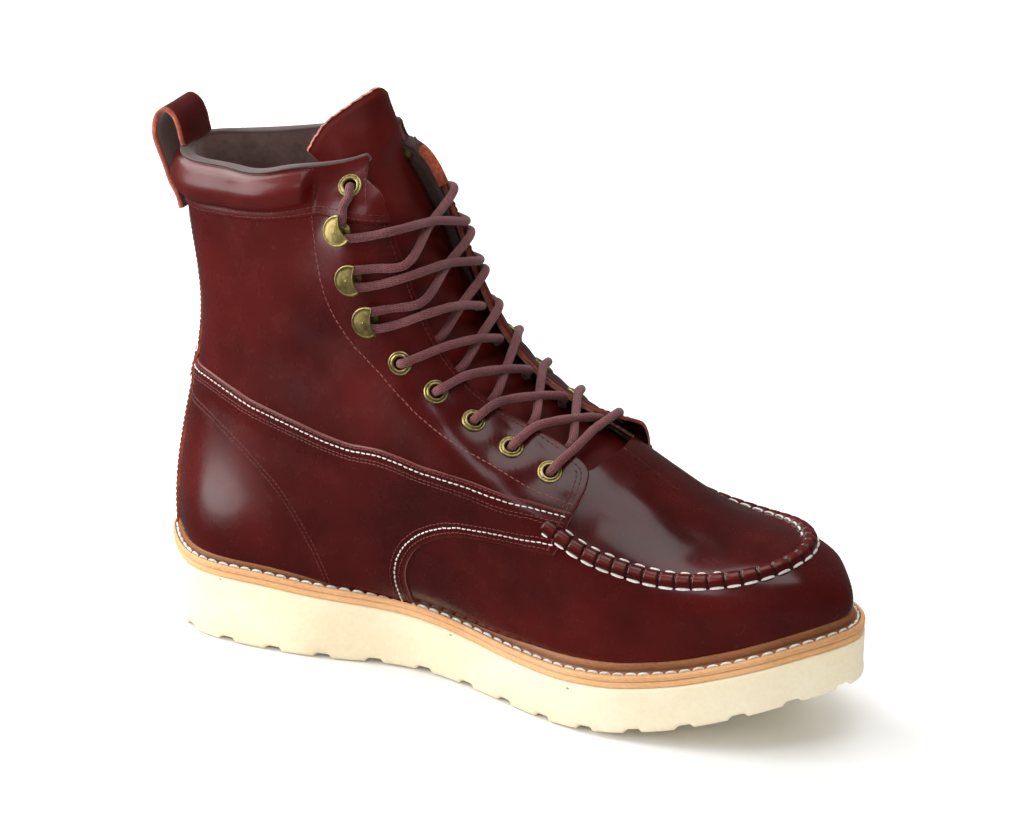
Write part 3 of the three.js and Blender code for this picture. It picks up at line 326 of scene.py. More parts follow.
def sole_material():
    m = Mat("cream_sole"); a = m.noise(22, 3, .5); f = m.noise(420, 5, .65); p = m.cells(1500)
    c = m.ramp(m.math("ADD", m.math("MULTIPLY", a, .6), m.math("MULTIPLY", f, .4)), [(.33, lin(230, 214, 178)), (.5, lin(239, 225, 192)), (.68, lin(245, 234, 208))])
    speck = m.noise(240, 2, .4, m.scale(1, 1, 1.6)); z = m.t.nodes.new("ShaderNodeSeparateXYZ"); m.link(m.tc, z.inputs[0])
    c = m.mix(m.math("MULTIPLY", m.span(speck, .735, .76, 0, 1), m.attr("upper_wall")), c, lin(92, 48, 28))
    # darker towards the bottom of the wedge, in noisy patches
    darkening = m.math("MULTIPLY", m.span(z.outputs[2], .0, .009, .55, 0), m.span(m.noise(60, 5, .7), .42, .62, 0, 1))
    c = m.mix(m.math("MULTIPLY", darkening, .5), c, lin(196, 174, 138))
    h = m.math("ADD", m.math("MULTIPLY", m.span(p, .0, .35, 0, 1), .5), m.math("MULTIPLY", f, .5))
    return m.set(color=c, rough=.72, normal=m.bump(m.noise(75, 4, .5), .14, .0008, m.bump(h, .2, .0002)), spec=.35)
SOLE = sole_material()

def tan_material(name, a, b, c2, line=0.0, rough=.62):
    m = Mat(name); n0 = m.noise(26, 3, .5); f = m.noise(520, 5, .7, m.scale(1, 1, 3.5))
    c = m.ramp(m.math("ADD", m.math("MULTIPLY", n0, .5), m.math("MULTIPLY", f, .5)), [(.32, a), (.5, b), (.7, c2)])
    # the mesh's dark value is painted shade: the welt's stitch channel, the foot of its lip and the lip's side against
    # the upper
    c = m.mix(m.math("MULTIPLY", m.attr("dark"), .6), c, lin(60, 32, 18))
    h = m.bump(f, .35, .0004); h = m.bump(m.noise(90, 4, .6), .3, .0008, h)
    return m.set(color=c, rough=m.span(f, .3, .7, rough - .08, rough + .1), normal=h, coat=line, coat_rough=.3)
WELT_TOP = tan_material("welt_top", lin(110, 60, 27), lin(144, 86, 42), lin(172, 110, 58), .12, .5)
WELT_EDGE = tan_material("welt_cut_edge", lin(190, 134, 84), lin(218, 164, 112), lin(234, 186, 136))
MIDSOLE = tan_material("midsole_edge", lin(202, 144, 90), lin(226, 172, 118), lin(238, 192, 142))
INSOLE = tan_material("insole_board", lin(92, 60, 38), lin(122, 82, 54), lin(146, 102, 70))

def brass_material(name, dark, light, rough):
    m = Mat(name); a = m.noise(160, 4, .6); f = m.noise(900, 3, .6)
    darkening = m.span(m.attr("dark"), 0, 1, 0, .72)
    c = m.ramp(m.math("ADD", m.math("MULTIPLY", a, .7), m.math("MULTIPLY", f, .3)), [(.33, dark), (.62, light)])
    c = m.mix(darkening, c, lin(28, 22, 12))
    return m.set(color=c, metal=.92, rough=m.span(a, .3, .7, rough, rough + .18), normal=m.bump(f, .18, .0002))
BRASS = brass_material("antique_brass", lin(118, 102, 56), lin(196, 180, 116), .24)
HOOK_BRASS = brass_material("antique_brass_hook", lin(124, 108, 62), lin(200, 180, 116), .36)

def lace_material():
    m = Mat("waxed_lace")
    along = m.attr("along"); around = m.attr("around")
    # two families of strands crossing on the cord: bumps from the mesh's own along/around values
    p = m.math("SINE", m.math("ADD", m.math("MULTIPLY", along, 6.283), m.math("MULTIPLY", around, 6 * 6.283)))
    q = m.math("SINE", m.math("SUBTRACT", m.math("MULTIPLY", along, 6.283), m.math("MULTIPLY", around, 6 * 6.283)))
    h = m.math("MAXIMUM", p, q); hh = m.span(h, -.2, 1, 0, 1)
    f = m.noise(900, 4, .6); a = m.noise(50, 3, .5)
    c = m.ramp(m.math("ADD", m.math("MULTIPLY", a, .5), m.math("MULTIPLY", f, .5)), [(.35, lin(98, 50, 52)), (.52, lin(128, 70, 72)), (.7, lin(150, 92, 92))])
    # painted shade in the grooves between the strands
    c = m.mix(m.span(h, -.3, .7, .6, 0), c, lin(50, 22, 25))
    return m.set(color=c, rough=.56, normal=m.bump(hh, .55, .0004, m.bump(f, .3, .0002)), sheen=.18, sheen_rough=.4, spec=.4)
LACE = lace_material()
# ------------------------------------------------------------------ meshes
PIECES = []
def mesh(name, V, tris=None, quads=None, mats=(LEATHER,), normals=None, index=None, attrs=None, smooth=True, replaces=()):
    """One mesh piece from arrays in boot millimetres."""
    V = place(V); groups = [g for g in (quads, tris) if g is not None and len(g)]
    me = bpy.data.meshes.new(name); me.vertices.add(len(V)); me.vertices.foreach_set("co", V.astype(np.float32).ravel())
    loops = np.concatenate([np.asarray(g, np.int32).ravel() for g in groups]); sizes = np.concatenate([np.full(len(g), np.asarray(g).shape[1], np.int32) for g in groups])
    me.loops.add(len(loops)); me.loops.foreach_set("vertex_index", loops)
    me.polygons.add(len(sizes)); me.polygons.foreach_set("loop_start", (np.cumsum(sizes) - sizes).astype(np.int32))
    for m in mats: me.materials.append(m)
    if index is not None: me.polygons.foreach_set("material_index", np.asarray(index, np.int32))
    me.update(calc_edges=True); me.validate()
    me.polygons.foreach_set("use_smooth", np.full(len(me.polygons), bool(smooth)))
    for k, v in (attrs or {}).items():
        me.attributes.new(k, "FLOAT", "POINT").data.foreach_set("value", np.asarray(v, np.float32))
    if normals is not None:
        me.normals_split_custom_set_from_vertices([tuple(n) for n in np.asarray(normals, float)])
    ob = bpy.data.objects.new(name, me); bpy.context.collection.objects.link(ob)
    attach(ob, "root")
    if replaces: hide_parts(*replaces)
    PIECES.append(ob); return ob

def grid_quads(n, m, closed_n=False, closed_m=False, start=0, flip=False):
    i = np.arange(n if closed_n else n - 1)[:, None]; j = np.arange(m if closed_m else m - 1)[None]
    a = i * m + j; b = ((i + 1) % n) * m + j; c = ((i + 1) % n) * m + (j + 1) % m; d = i * m + (j + 1) % m
    q = np.stack([a, b, c, d], -1).reshape(-1, 4) + start
    return q[:, ::-1] if flip else q

class Heap:
    """Joins many small shapes into one mesh."""
    def __init__(s): s.V, s.Q, s.T, s.IQ, s.IT, s.at, s.n = [], [], [], [], [], {}, 0
    def add(s, V, quads=None, tris=None, mat=0, **attrs):
        V = np.asarray(V, float).reshape(-1, 3); s.V.append(V); c = V.mean(0); vol = 0
        for g, w in ((quads, (0, 1, 2)), (quads, (0, 2, 3)), (tris, (0, 1, 2))):
            if g is not None and len(g):
                g = np.asarray(g); a, b, d = (V[g[:, k]] - c for k in w); vol += (np.cross(a, b) * d).sum()
        if vol < 0:
            quads = np.asarray(quads)[:, ::-1] if quads is not None and len(quads) else None
            tris = np.asarray(tris)[:, ::-1] if tris is not None and len(tris) else None
        if quads is not None and len(quads): s.Q.append(np.asarray(quads) + s.n); s.IQ.append(np.full(len(quads), mat))
        if tris is not None and len(tris): s.T.append(np.asarray(tris) + s.n); s.IT.append(np.full(len(tris), mat))
        for k, v in attrs.items():
            s.at.setdefault(k, []).append((s.n, np.broadcast_to(np.asarray(v, float), (len(V),))))
        s.n += len(V)
    def done(s, name, mats, slot, smooth=True, replaces=()):
        V = np.concatenate(s.V); Q = np.concatenate(s.Q) if s.Q else None; T3 = np.concatenate(s.T) if s.T else None
        idx = np.concatenate(s.IQ + s.IT); at = {}
        for k, parts in s.at.items():
            v = np.zeros(len(V)); 
            for st, q in parts: v[st:st + len(q)] = q
            at[k] = v
        return mesh(name, V, T3, Q, mats, index=idx, attrs=at, smooth=smooth, replaces=replaces)

def unit(v): return v / np.maximum(np.linalg.norm(v, axis=-1, keepdims=True), 1e-12)
def curve(P, n, closed=False):
    """Centripetal spline through points, n even steps by length."""
    P = A(P)
    if closed: P = np.r_[P[-2:], P, P[:3]]
    else: P = np.r_[[2 * P[0] - P[1]], P, [2 * P[-1] - P[-2]]]
    t = np.r_[0, np.cumsum(np.maximum(np.linalg.norm(np.diff(P, axis=0), axis=1), 1e-6) ** .5)]
    out = []; lo, hi = (2, len(P) - 3) if closed else (1, len(P) - 2)
    for i in range(lo, hi):
        p0, p1, p2, p3 = P[i - 1:i + 3]; t0, t1, t2, t3 = t[i - 1:i + 3]; q = np.linspace(t1, t2, 24, endpoint=False)[:, None]
        a1 = (t1 - q) / (t1 - t0) * p0 + (q - t0) / (t1 - t0) * p1; a2 = (t2 - q) / (t2 - t1) * p1 + (q - t1) / (t2 - t1) * p2; a3 = (t3 - q) / (t3 - t2) * p2 + (q - t2) / (t3 - t2) * p3
        b1 = (t2 - q) / (t2 - t0) * a1 + (q - t0) / (t2 - t0) * a2; b2 = (t3 - q) / (t3 - t1) * a2 + (q - t1) / (t3 - t1) * a3
        out.append((t2 - q) / (t2 - t1) * b1 + (q - t1) / (t2 - t1) * b2)
    out = np.concatenate(out + [P[hi:hi + 1]]); d = np.r_[0, np.cumsum(np.linalg.norm(np.diff(out, axis=0), axis=1))]
    w = np.linspace(0, d[-1], n, endpoint=not closed)
    return np.stack([np.interp(w, d, out[:, k]) for k in range(out.shape[1])], 1)
def length(P): return float(np.linalg.norm(np.diff(P, axis=0), axis=1).sum())

def tube_pts(C, r, sides=10, up=None, flat=1.0):
    """Rings of a round cord along C; parallel frames, or the given up directions."""
    C = A(C); n = len(C); Tn = unit(np.gradient(C, axis=0)); U = np.zeros((n, 3))
    if up is not None:
        U = unit(up - (up * Tn).sum(1, keepdims=True) * Tn)
    else:
        u = np.cross(Tn[0], [0.3, 0.2, 1.0]); u /= np.linalg.norm(u)
        for i in range(n):
            u = u - (u @ Tn[i]) * Tn[i]; u /= np.linalg.norm(u); U[i] = u
    B = np.cross(Tn, U); a = np.linspace(0, 2 * np.pi, sides, endpoint=False); r = np.broadcast_to(np.asarray(r, float), (n,))
    return C[:, None] + r[:, None, None] * (np.cos(a)[None, :, None] * U[:, None] * flat + np.sin(a)[None, :, None] * B[:, None])

def capped(rings):
    """Quads and end fans of a tube of rings (n, m, 3)."""
    n, m = rings.shape[:2]; V = rings.reshape(-1, 3); q = grid_quads(n, m, closed_m=True)
    V = np.r_[V, [rings[0].mean(0)], [rings[-1].mean(0)]]; j = np.arange(m)
    t = np.r_[np.c_[np.full(m, n * m), j, (j + 1) % m][:, [0, 2, 1]], np.c_[np.full(m, n * m + 1), (n - 1) * m + j, (n - 1) * m + (j + 1) % m]]
    return V, q, t

F = Face()
# the inner flap's top corner is worn down and forward
_e = lambda a, b, q: np.clip((q - a) / (b - a), 0, 1) ** 2 * (3 - 2 * np.clip((q - a) / (b - a), 0, 1))
_w = _e(66, 91, F.P[..., 0]) * _e(188, 208, F.P[..., 2]) * (1 - _e(-15, -7, F.P[..., 1])); F.P[..., 2] -= 4.2 * _w; F.P[..., 0] += 3.0 * _w; F._normals()
def shift(av, k, h=0.0):
    """Moves (a, v) points k mm sideways on the surface, to the left of their direction seen from outside."""
    av = np.asarray(av, float); P = F.at(av[:, 0], av[:, 1]); Tn = unit(np.gradient(P, axis=0)); N = F.nrm(av[:, 0], av[:, 1]); B = unit(np.cross(N, Tn))
    e = 1e-3; Pa = (F.at(av[:, 0] + e, av[:, 1]) - F.at(av[:, 0] - e, av[:, 1])) / (2 * e); Pv = (F.at(av[:, 0], np.minimum(av[:, 1] + e, 1)) - F.at(av[:, 0], av[:, 1] - e)) / (np.minimum(av[:, 1] + e, 1) - av[:, 1] + e)[:, None]
    D = B * np.broadcast_to(np.asarray(k, float), (len(av),))[:, None]
    aa, bb, cc, d1, d2 = (Pa * Pa).sum(1), (Pa * Pv).sum(1), (Pv * Pv).sum(1), (D * Pa).sum(1), (D * Pv).sum(1); det = np.maximum(aa * cc - bb * bb, 1e-6)
    return np.c_[av[:, 0] + (cc * d1 - bb * d2) / det, np.clip(av[:, 1] + (aa * d2 - bb * d1) / det, 0, 1)]
def even(av, step):
    """Resamples (a, v) points to even steps on the surface."""
    P = F.at(av[:, 0], av[:, 1]); d = np.r_[0, np.cumsum(np.linalg.norm(np.diff(P, axis=0), axis=1))]; n = max(3, int(round(d[-1] / step)) + 1)
    w = np.linspace(0, d[-1], n); return np.c_[np.interp(w, d, av[:, 0]), np.interp(w, d, av[:, 1])]
def seam(points, n=400):
    """Smooth (a, v) line through a few (a, v) knots."""
    S = np.array([700.0, 150.0]); return curve(A(points) * S, n) / S
# ------------------------------------------------------------------ sole
def oriented(V, Q):
    """Quads of a closed shell turned outwards."""
    c = V.mean(0); vol = sum((np.cross(V[Q[:, i]] - c, V[Q[:, j]] - c) * (V[Q[:, k]] - c)).sum() for i, j, k in ((0, 1, 2), (0, 2, 3)))
    return Q if vol > 0 else Q[:, ::-1]

def make_sole():
    n = 1080
    a = np.arange(n) / n; u = np.interp(a * F.len, F.dd, F.uu); o, N2, w = outline(u), outward(u), welt_row(u)[:, 0]
    arc = a * F.len; x = o[:, 0]
    arch = 0.5 * np.exp(-((x - 122) / 24) ** 4)
    low = spring_z(x) + arch; top = wedge_top(x)
    # tread notches round the edge, cut a little unevenly
    phase = arc / 21.0 + 0.05 * np.sin(arc / 37.0); tri = np.abs(phase - np.round(phase)) * 21.0
    notch = np.clip((3.9 - tri) / 1.6, 0, 1)
    jag = 0.35 * np.sin(arc / 3.1) * np.sin(arc / 7.7 + 1)
    def row(inset, z, dx=0.0):
        q = o - N2 * (np.zeros(n) + inset)[:, None]; return np.c_[q, np.zeros(n) + z]
    rows, lab = [], []
    wall = top - low
    rows += [row(6.0, top - .1), row(1.0, top - .1), row(.3, top - .3), row(0, top - .9)]
    for f in np.linspace(.06, .80, 13): rows.append(row(.28 * np.sin(np.pi * f) + .05 * np.sin(arc / 5 + f * 9), top - .9 - (wall - .9) * f))
    rows.append(row(.02 + .05 * jag, low + 2.6))
    rows += [row(notch * .5 + .05 * jag, low + 1.9 + .25 * jag), row(notch * 1.0 + .1, low + 1.2 + notch * .35), row(.35 + notch * 1.0, low + .3 + notch * 1.0),
             row(.9 + notch * .8, low + notch * 1.4), row(6, low + notch * 1.5), row(13, low + notch * 1.5), row(19, low + notch * 1.3), row(21, low)]
    m = len(rows); V = np.stack(rows, 1)
    Q = grid_quads(n, m, closed_n=True); V = V.reshape(-1, 3)
    i = np.arange(1, n // 2); e = lambda k, j: (k % n) * m + j
    q1 = np.c_[e(i, m - 1), e(i + 1, m - 1), e(n - i - 1, m - 1), e(n - i, m - 1)][:-1]; q0 = np.c_[e(i, 0), e(i + 1, 0), e(n - i - 1, 0), e(n - i, 0)][:-1, ::-1]
    Q = np.r_[Q, q1[:, ::-1], q0[:, ::-1]]
    T3 = []
    for j, f in ((m - 1, 1), (0, 0)):
        for tri3 in ((0, 1, n - 1), (n // 2, n // 2 + 1, n // 2 - 1)):
            t = [e(k, j) for k in tri3]; T3.append(t if f else t[::-1])
    upper = np.zeros((n, m)); upper[:, 3:9] = np.linspace(1, 0, 6)[None]
    v1 = (np.cross(V[Q[:, 0]], V[Q[:, 1]]) * V[Q[:, 2]]).sum()
    mesh("sole_wedge", V, np.array(T3), oriented(V, Q), (SOLE,), attrs={"upper_wall": upper.ravel()}, replaces=("outsole",))

    # midsole board
    n = 720; a = np.arange(n) / n; u = np.interp(a * F.len, F.dd, F.uu); o, N2, w = outline(u), outward(u), welt_row(u)[:, 0]; x = o[:, 0]; top = wedge_top(x); arc = a * F.len
    def ring_rows(prof, base):
        return np.stack([np.c_[o - N2 * (i + 0 * x)[:, None], base + (h + 0 * x)] for i, h in prof], 1)
    rag = .07 * np.sin(arc * 1.9) * np.sin(arc * .53) + .05 * np.sin(arc * 3.7 + 1)
    prof = [(7.5, .02), (.9, .02), (.45 + rag, .3), (.3 + rag, 1.2), (.38 + rag, 2.3), (.7, 2.66), (7.5, 2.68)]
    V = ring_rows(prof, top); Q = grid_quads(n, len(prof), closed_n=True, closed_m=True); V = V.reshape(-1, 3)
    mesh("midsole_board", V, None, oriented(V, Q), (MIDSOLE,), replaces=("midsole",))

    # storm welt: flat shelf with a stitch channel and a raised inner lip
    ch = w * .44
    z0 = MID
    prof = [(w + 2.0, z0 + .02), (.9, z0 + .02), (.35 + rag, z0 + .25), (.12 + rag, z0 + .9), (.12 + rag, z0 + 1.8), (.32 + rag, z0 + 2.35), (.75, z0 + 2.58), (ch - 1.1, z0 + 2.62), (ch - .6, z0 + 2.25), (ch, z0 + 2.1), (ch + .5, z0 + 2.25), (ch + .8, z0 + 2.6),
            (w - 2.3, z0 + 2.7), (w - 2.15, z0 + 3.2), (w - 2.05, z0 + 4.6), (w - 1.75, z0 + 5.7), (w - 1.3, z0 + 6.25), (w - .8, z0 + 6.2), (w - .45, z0 + 5.6), (w - .3, z0 + 4.2), (w + .1, z0 + 2.0), (w + 2.0, z0 + 1.2)]
    V = ring_rows(prof, top); m = len(prof); Q = grid_quads(n, m, closed_n=True, closed_m=True); V = V.reshape(-1, 3)
    # painted shade on the channel floor, at the foot of the lip and on the lip's inner side against the upper
    j = np.tile(np.arange(m), n); dark = np.isin(j, (13, 19, 20, 21)) * 1.0 + np.isin(j, (12, 9)) * .45
    idx = np.where((Q[:, 0] % m >= 1) & (Q[:, 0] % m < 7), 1, 0)
    mesh("welt_strip", V, None, oriented(V, Q), (WELT_TOP, WELT_EDGE), index=idx, attrs={"dark": dark}, replaces=("welt",))

    # lockstitches in the channel, all round
    heap = Heap(); pitch = 5.4; k = int(F.len / pitch)
    for i in range(k):
        c0 = (i + rng.uniform(-.04, .04)) / k; half = 2.15 / F.len
        t = np.linspace(-1, 1, 7); aa = c0 + t * half; uu = np.interp(np.mod(aa, 1) * F.len, F.dd, F.uu); oo, nn, ww = outline(uu), outward(uu), welt_row(uu)[:, 0]
        C = np.c_[oo - nn * (ww * .44)[:, None], wedge_top(oo[:, 0]) + MID + 2.35 + .52 * (1 - np.abs(t) ** 3) - .25]
        C[:, :2] += rng.normal(0, .05, 2)
        V, q, t3 = capped(tube_pts(C, .62 * (1 - .45 * np.abs(t) ** 4), 6)); heap.add(V, q, t3)
    heap.done("welt_stitches", (WELT_THREAD,), "welt")
make_sole()
# ------------------------------------------------------------------ upper
def press(line, depth, width, side=-1, taper=True):
    """A soft trough (depth < 0) or ridge pressed into the leather along points given in boot millimetres."""
    C = curve(line, 60); w = np.sin(np.linspace(0, np.pi, 60)) ** .7 if taper else np.ones(60)
    G = F.P.reshape(-1, 3); sel = np.nonzero((G[:, 1] * side > -6) & (np.abs(G[:, 0] - C[:, 0].mean()) < np.ptp(C[:, 0]) / 2 + 4 * width) & (np.abs(G[:, 2] - C[:, 2].mean()) < np.ptp(C[:, 2]) / 2 + 4 * width))[0]
    if not len(sel): return
    d = np.full(len(sel), 1e9); k = np.zeros(len(sel), int)
    for i in range(60):
        e = ((G[sel] - C[i]) ** 2).sum(1); b = e < d; d[b] = e[b]; k[b] = i
    FIELD.reshape(-1)[sel] += depth * w[k] * np.exp(-d / (2 * (width / 2) ** 2))
FIELD = np.zeros(F.P.shape[:2])
def creases():
    for s in (-1, 1):
        # drawn waves between the lower eyelets and the vamp
        for x, y, z, dx, dz, dep, wid in ((176, 34, 92, 13, -9, -.9, 7), (166, 37, 96, 10, -8, .55, 6), (188, 30, 92, 6, -10, .6, 5), (158, 34, 104, 9, 5, -.5, 6), (141, 37, 113, 10, 7, -.45, 7), (127, 38, 124, 9, 8, -.4, 7)):
            press([(x - dx / 2, s * (y + 2), z - dz / 2), (x, s * y, z), (x + dx, s * (y - 7), z + dz)], dep, wid, s)
        # the stay sinks round each eyelet and swells between them
        low = [(120.9, 32.6, 133.7), (133.7, 31.6, 121.9), (150, 30.7, 112.5), (166.1, 29.6, 104.2), (182.3, 28.6, 96.3)]
        for x, y, z in low: press([(x - 1, s * y, z), (x, s * y, z + .3), (x + 1, s * y, z + .2)], -.75, 9, s, False)
        for p0, p1 in zip(low[:-1], low[1:]):
            x, y, z = (A(p0) + A(p1)) / 2; press([(x - 4, s * (y + 6), z - 6), (x, s * y, z), (x + 3, s * (y - 6), z + 4)], .6, 7, s)
        # ankle: long shallow rolls behind the hooks
        press([(62, s * 31, 150), (82, s * 34, 143), (103, s * 35, 139)], -.8, 12, s); press([(58, s * 31, 163), (76, s * 32, 160), (97, s * 34, 158)], .45, 11, s)
        press([(44, s * 26, 128), (66, s * 31, 122), (92, s * 36, 121)], -.55, 14, s)
        # ball of the foot: shallow flex waves
        press([(197, s * 43, 62), (203, s * 40, 72), (208, s * 30, 84)], -.35, 7, s); press([(214, s * 47, 50), (219, s * 45, 60), (221, s * 41, 68)], -.35, 9, s)
    press([(206, -24, 90), (210, 0, 95), (207, 24, 90)], -.55, 7, 0); press([(219, -26, 84), (224, 0, 89), (220, 26, 84)], .35, 8, 0); press([(233, -22, 79), (238, 0, 83.5), (233, 22, 79)], -.3, 9, 0)
def smooth_centre():
    """The vamp's crown along the centre line, where the ribs run together, follows one smooth fitted sheet."""
    G = F.P.reshape(-1, 3); N = F.N.reshape(-1, 3); x, y = G[:, 0], G[:, 1]; up = (N[:, 2] > .2) | (np.hypot(x - 233, y) < 14)
    fit = up & (x > 204) & (x < 282) & (np.abs(y) < 27) & (G[:, 2] > 66); core = np.hypot(x - 233, y) > 9
    X = lambda x, y: np.stack([(x / 40 - 6) ** i * (y / 25) ** j for i in range(5) for j in range(5 - i)], 1)
    k = np.nonzero(fit & core)[0][::3]; c = np.linalg.lstsq(X(x[k], y[k]), G[k, 2], rcond=None)[0]
    w = lambda a, b, q: np.clip((q - a) / (b - a), 0, 1) ** 2 * (3 - 2 * np.clip((q - a) / (b - a), 0, 1))
    sel = np.nonzero(up & (x > 204) & (x < 276) & (np.abs(y) < 20))[0]; xs, ys = x[sel], y[sel]
    m = w(204, 214, xs) * (1 - w(258, 274, xs)) * (1 - w(10, 19, np.abs(ys))); z = X(xs, ys) @ c
    G[sel, 2] = G[sel, 2] * (1 - m) + z * m
    e = .2; zx = (X(xs + e, ys) @ c - X(xs - e, ys) @ c) / (2 * e); zy = (X(xs, ys + e) @ c - X(xs, ys - e) @ c) / (2 * e); n = unit(np.stack([-zx, -zy, 0 * zx + 1], 1))
    global CROWN; CROWN = (X, c)
    F.P = G.reshape(F.P.shape); F._normals(); N2 = F.N.reshape(-1, 3); N2[sel] = unit(N2[sel] * (1 - m[:, None]) + n * m[:, None]); F.N = N2.reshape(F.P.shape)
creases()
F.P = F.P + F.N * FIELD[..., None]
F._normals()
smooth_centre()

def mirror(av):
    """Points on the other side of the boot at the same x and z."""
    P = F.at(np.asarray(av)[:, 0], np.asarray(av)[:, 1]); G = F.P.reshape(-1, 3); out = []
    for p in P:
        sgn = -np.sign(p[1]) or 1.0; q = p * [1, -1, 1]; W = A([1, .15, 1])
        d = ((G - q) ** 2 * W).sum(1) + 1e6 * (G[:, 1] * sgn < -2); i = int(d.argmin()); a, v = (i // F.NS) / F.NU, (i % F.NS) / (F.NS - 1); ha, hv = 1.2 / F.NU, 1.2 / F.NS
        for _ in range(4):
            aa = a + ha * np.linspace(-1, 1, 7)[:, None] + np.zeros((7, 7)); vv = np.clip(v + hv * np.linspace(-1, 1, 7)[None] + np.zeros((7, 7)), 0, 1)
            e = ((F.at(aa, vv) - q) ** 2 * W).sum(-1); k = int(e.argmin()); a, v = aa.flat[k], vv.flat[k]; ha /= 3; hv /= 3
        out.append((a, v))
    return np.array(out)

# seam lines as (a, v) knots on the inner side: a = share of the outline from the heel, v = share of the rib
HALF_MOON = A([(.2050, -.02), (.2050, .047), (.2050, .089), (.2068, .120), (.2115, .154), (.2192, .189), (.2327, .237), (.2481, .284), (.2596, .312), (.2731, .343), (.2846, .367), (.2981, .393), (.3065, .408), (.3154, .420)])
FRONT = A([(.3154, .420), (.3205, .466), (.3240, .527), (.3265, .580), (.3288, .639), (.3305, .704), (.3308, .752), (.3300, .785), (.3272, .806), (.3225, .815)])
QUARTER = A([(0, .436), (.0212, .438), (.0596, .447), (.0827, .432), (.0981, .416), (.1192, .402), (.1404, .389), (.1615, .370), (.1827, .350), (.2038, .349), (.2250, .375), (.2442, .420), (.2640, .468), (.2885, .515), (.3058, .549), (.3154, .563), (.3250, .578)])
COUNTER = A([(.004, .375), (.0212, .370), (.0596, .367), (.0788, .343), (.0962, .308), (.1096, .272), (.1212, .237), (.1327, .189), (.1404, .148), (.1481, .101), (.1538, .047), (.156, .01)])
STAY_ROW = A([(.1560, .930), (.1558, .905), (.1577, .882), (.1596, .840), (.1615, .805), (.1635, .769), (.1700, .690), (.1770, .630), (.1865, .580), (.1981, .545), (.2135, .523), (.2269, .521), (.2462, .540), (.2635, .566), (.2808, .594), (.2923, .604), (.3019, .609), (.3115, .615), (.3212, .627), (.3268, .634)])
lo_hi = lambda L: np.clip(L, [-1, 0], [2, 1])
def both(knots):
    """The line on the inner side and its twin on the outer side."""
    k = A(knots); inner = seam(k); keep = k[k[:, 0] > .003]; m = mirror(lo_hi(keep)); m[:, 0] = np.where(m[:, 0] < .5, m[:, 0] + 1, m[:, 0])
    m[:, 1] += (keep[:, 1] - lo_hi(keep)[:, 1])
    if k[0, 0] <= .003 and k[0, 0] >= 0 and len(keep) < len(k): m = np.r_[[[1.0, k[0, 1]]], m]
    return inner, seam(m)
HM_M, HM_L = both(HALF_MOON); FR_M, FR_L = both(FRONT); QS_M, QS_L = both(QUARTER); CT_M, CT_L = both(COUNTER); SR_M, SR_L = both(STAY_ROW)

def end_line(a0, a1, n=400, inset=.3):
    """The throat or rim edge between two columns, pulled in by inset mm."""
    a = np.linspace(a0, a1, n); v = F.end_at(a); return np.c_[a, v - inset / 130.0]

# rows of the lacing on the inner side from the top: x, y, z, kind, then the point on the throat edge
LACING = [(94.9, 29, 203, 0, 104, 21.3, 206), (96.2, 31.7, 184.1, 1, 108.7, 23.2, 185), (102.2, 33.4, 166.5, 1, 113.5, 24, 167),
          (109.8, 33.6, 150.7, 1, 120.5, 24, 152), (120.9, 32.6, 133.7, 0, 130.5, 23.3, 137), (133.7, 31.6, 121.9, 0, 141, 21.4, 126),
          (150, 30.7, 112.5, 0, 154, 18.9, 115), (166.1, 29.6, 104.2, 0, 170, 17, 106), (182.3, 28.6, 96.3, 0, 186.5, 17.6, 100)]
SPOTS = {}
for _i, _r in enumerate(LACING, 1):
    for _s in (-1, 1):
        _q, _e = F.find([(_r[0], _s * _r[1], _r[2]), (_r[4], _s * _r[5], _r[6])], _s)
        SPOTS[_i, _s] = dict(av=_q, hook=bool(_r[3]), p=F.at(_q[0], _q[1]), n=F.nrm(_q[0], _q[1]), e=F.at(_e[0], _e[1]), en=F.nrm(_e[0], _e[1]))
HOLES = [s for s in SPOTS.values() if not s["hook"]]
HOLE_R = 2.75

def circle_av(spot, r, n=20):
    """A ring of (a, v) points r mm from a hole's middle."""
    a, v = spot["av"]; e = 1e-3; Pa = (F.at(a + e, v) - F.at(a - e, v)) / (2 * e); Pv = (F.at(a, v + e) - F.at(a, v - e)) / (2 * e)
    t = np.linspace(0, 2 * np.pi, n, endpoint=False); X = unit(Pa); Y = np.cross(spot["n"], X); D = r * (np.cos(t)[:, None] * X + np.sin(t)[:, None] * Y)
    aa, bb, cc, d1, d2 = Pa @ Pa, Pa @ Pv, Pv @ Pv, D @ Pa, D @ Pv; det = aa * cc - bb * bb
    return np.c_[a + (cc * d1 - bb * d2) / det, v + (aa * d2 - bb * d1) / det]

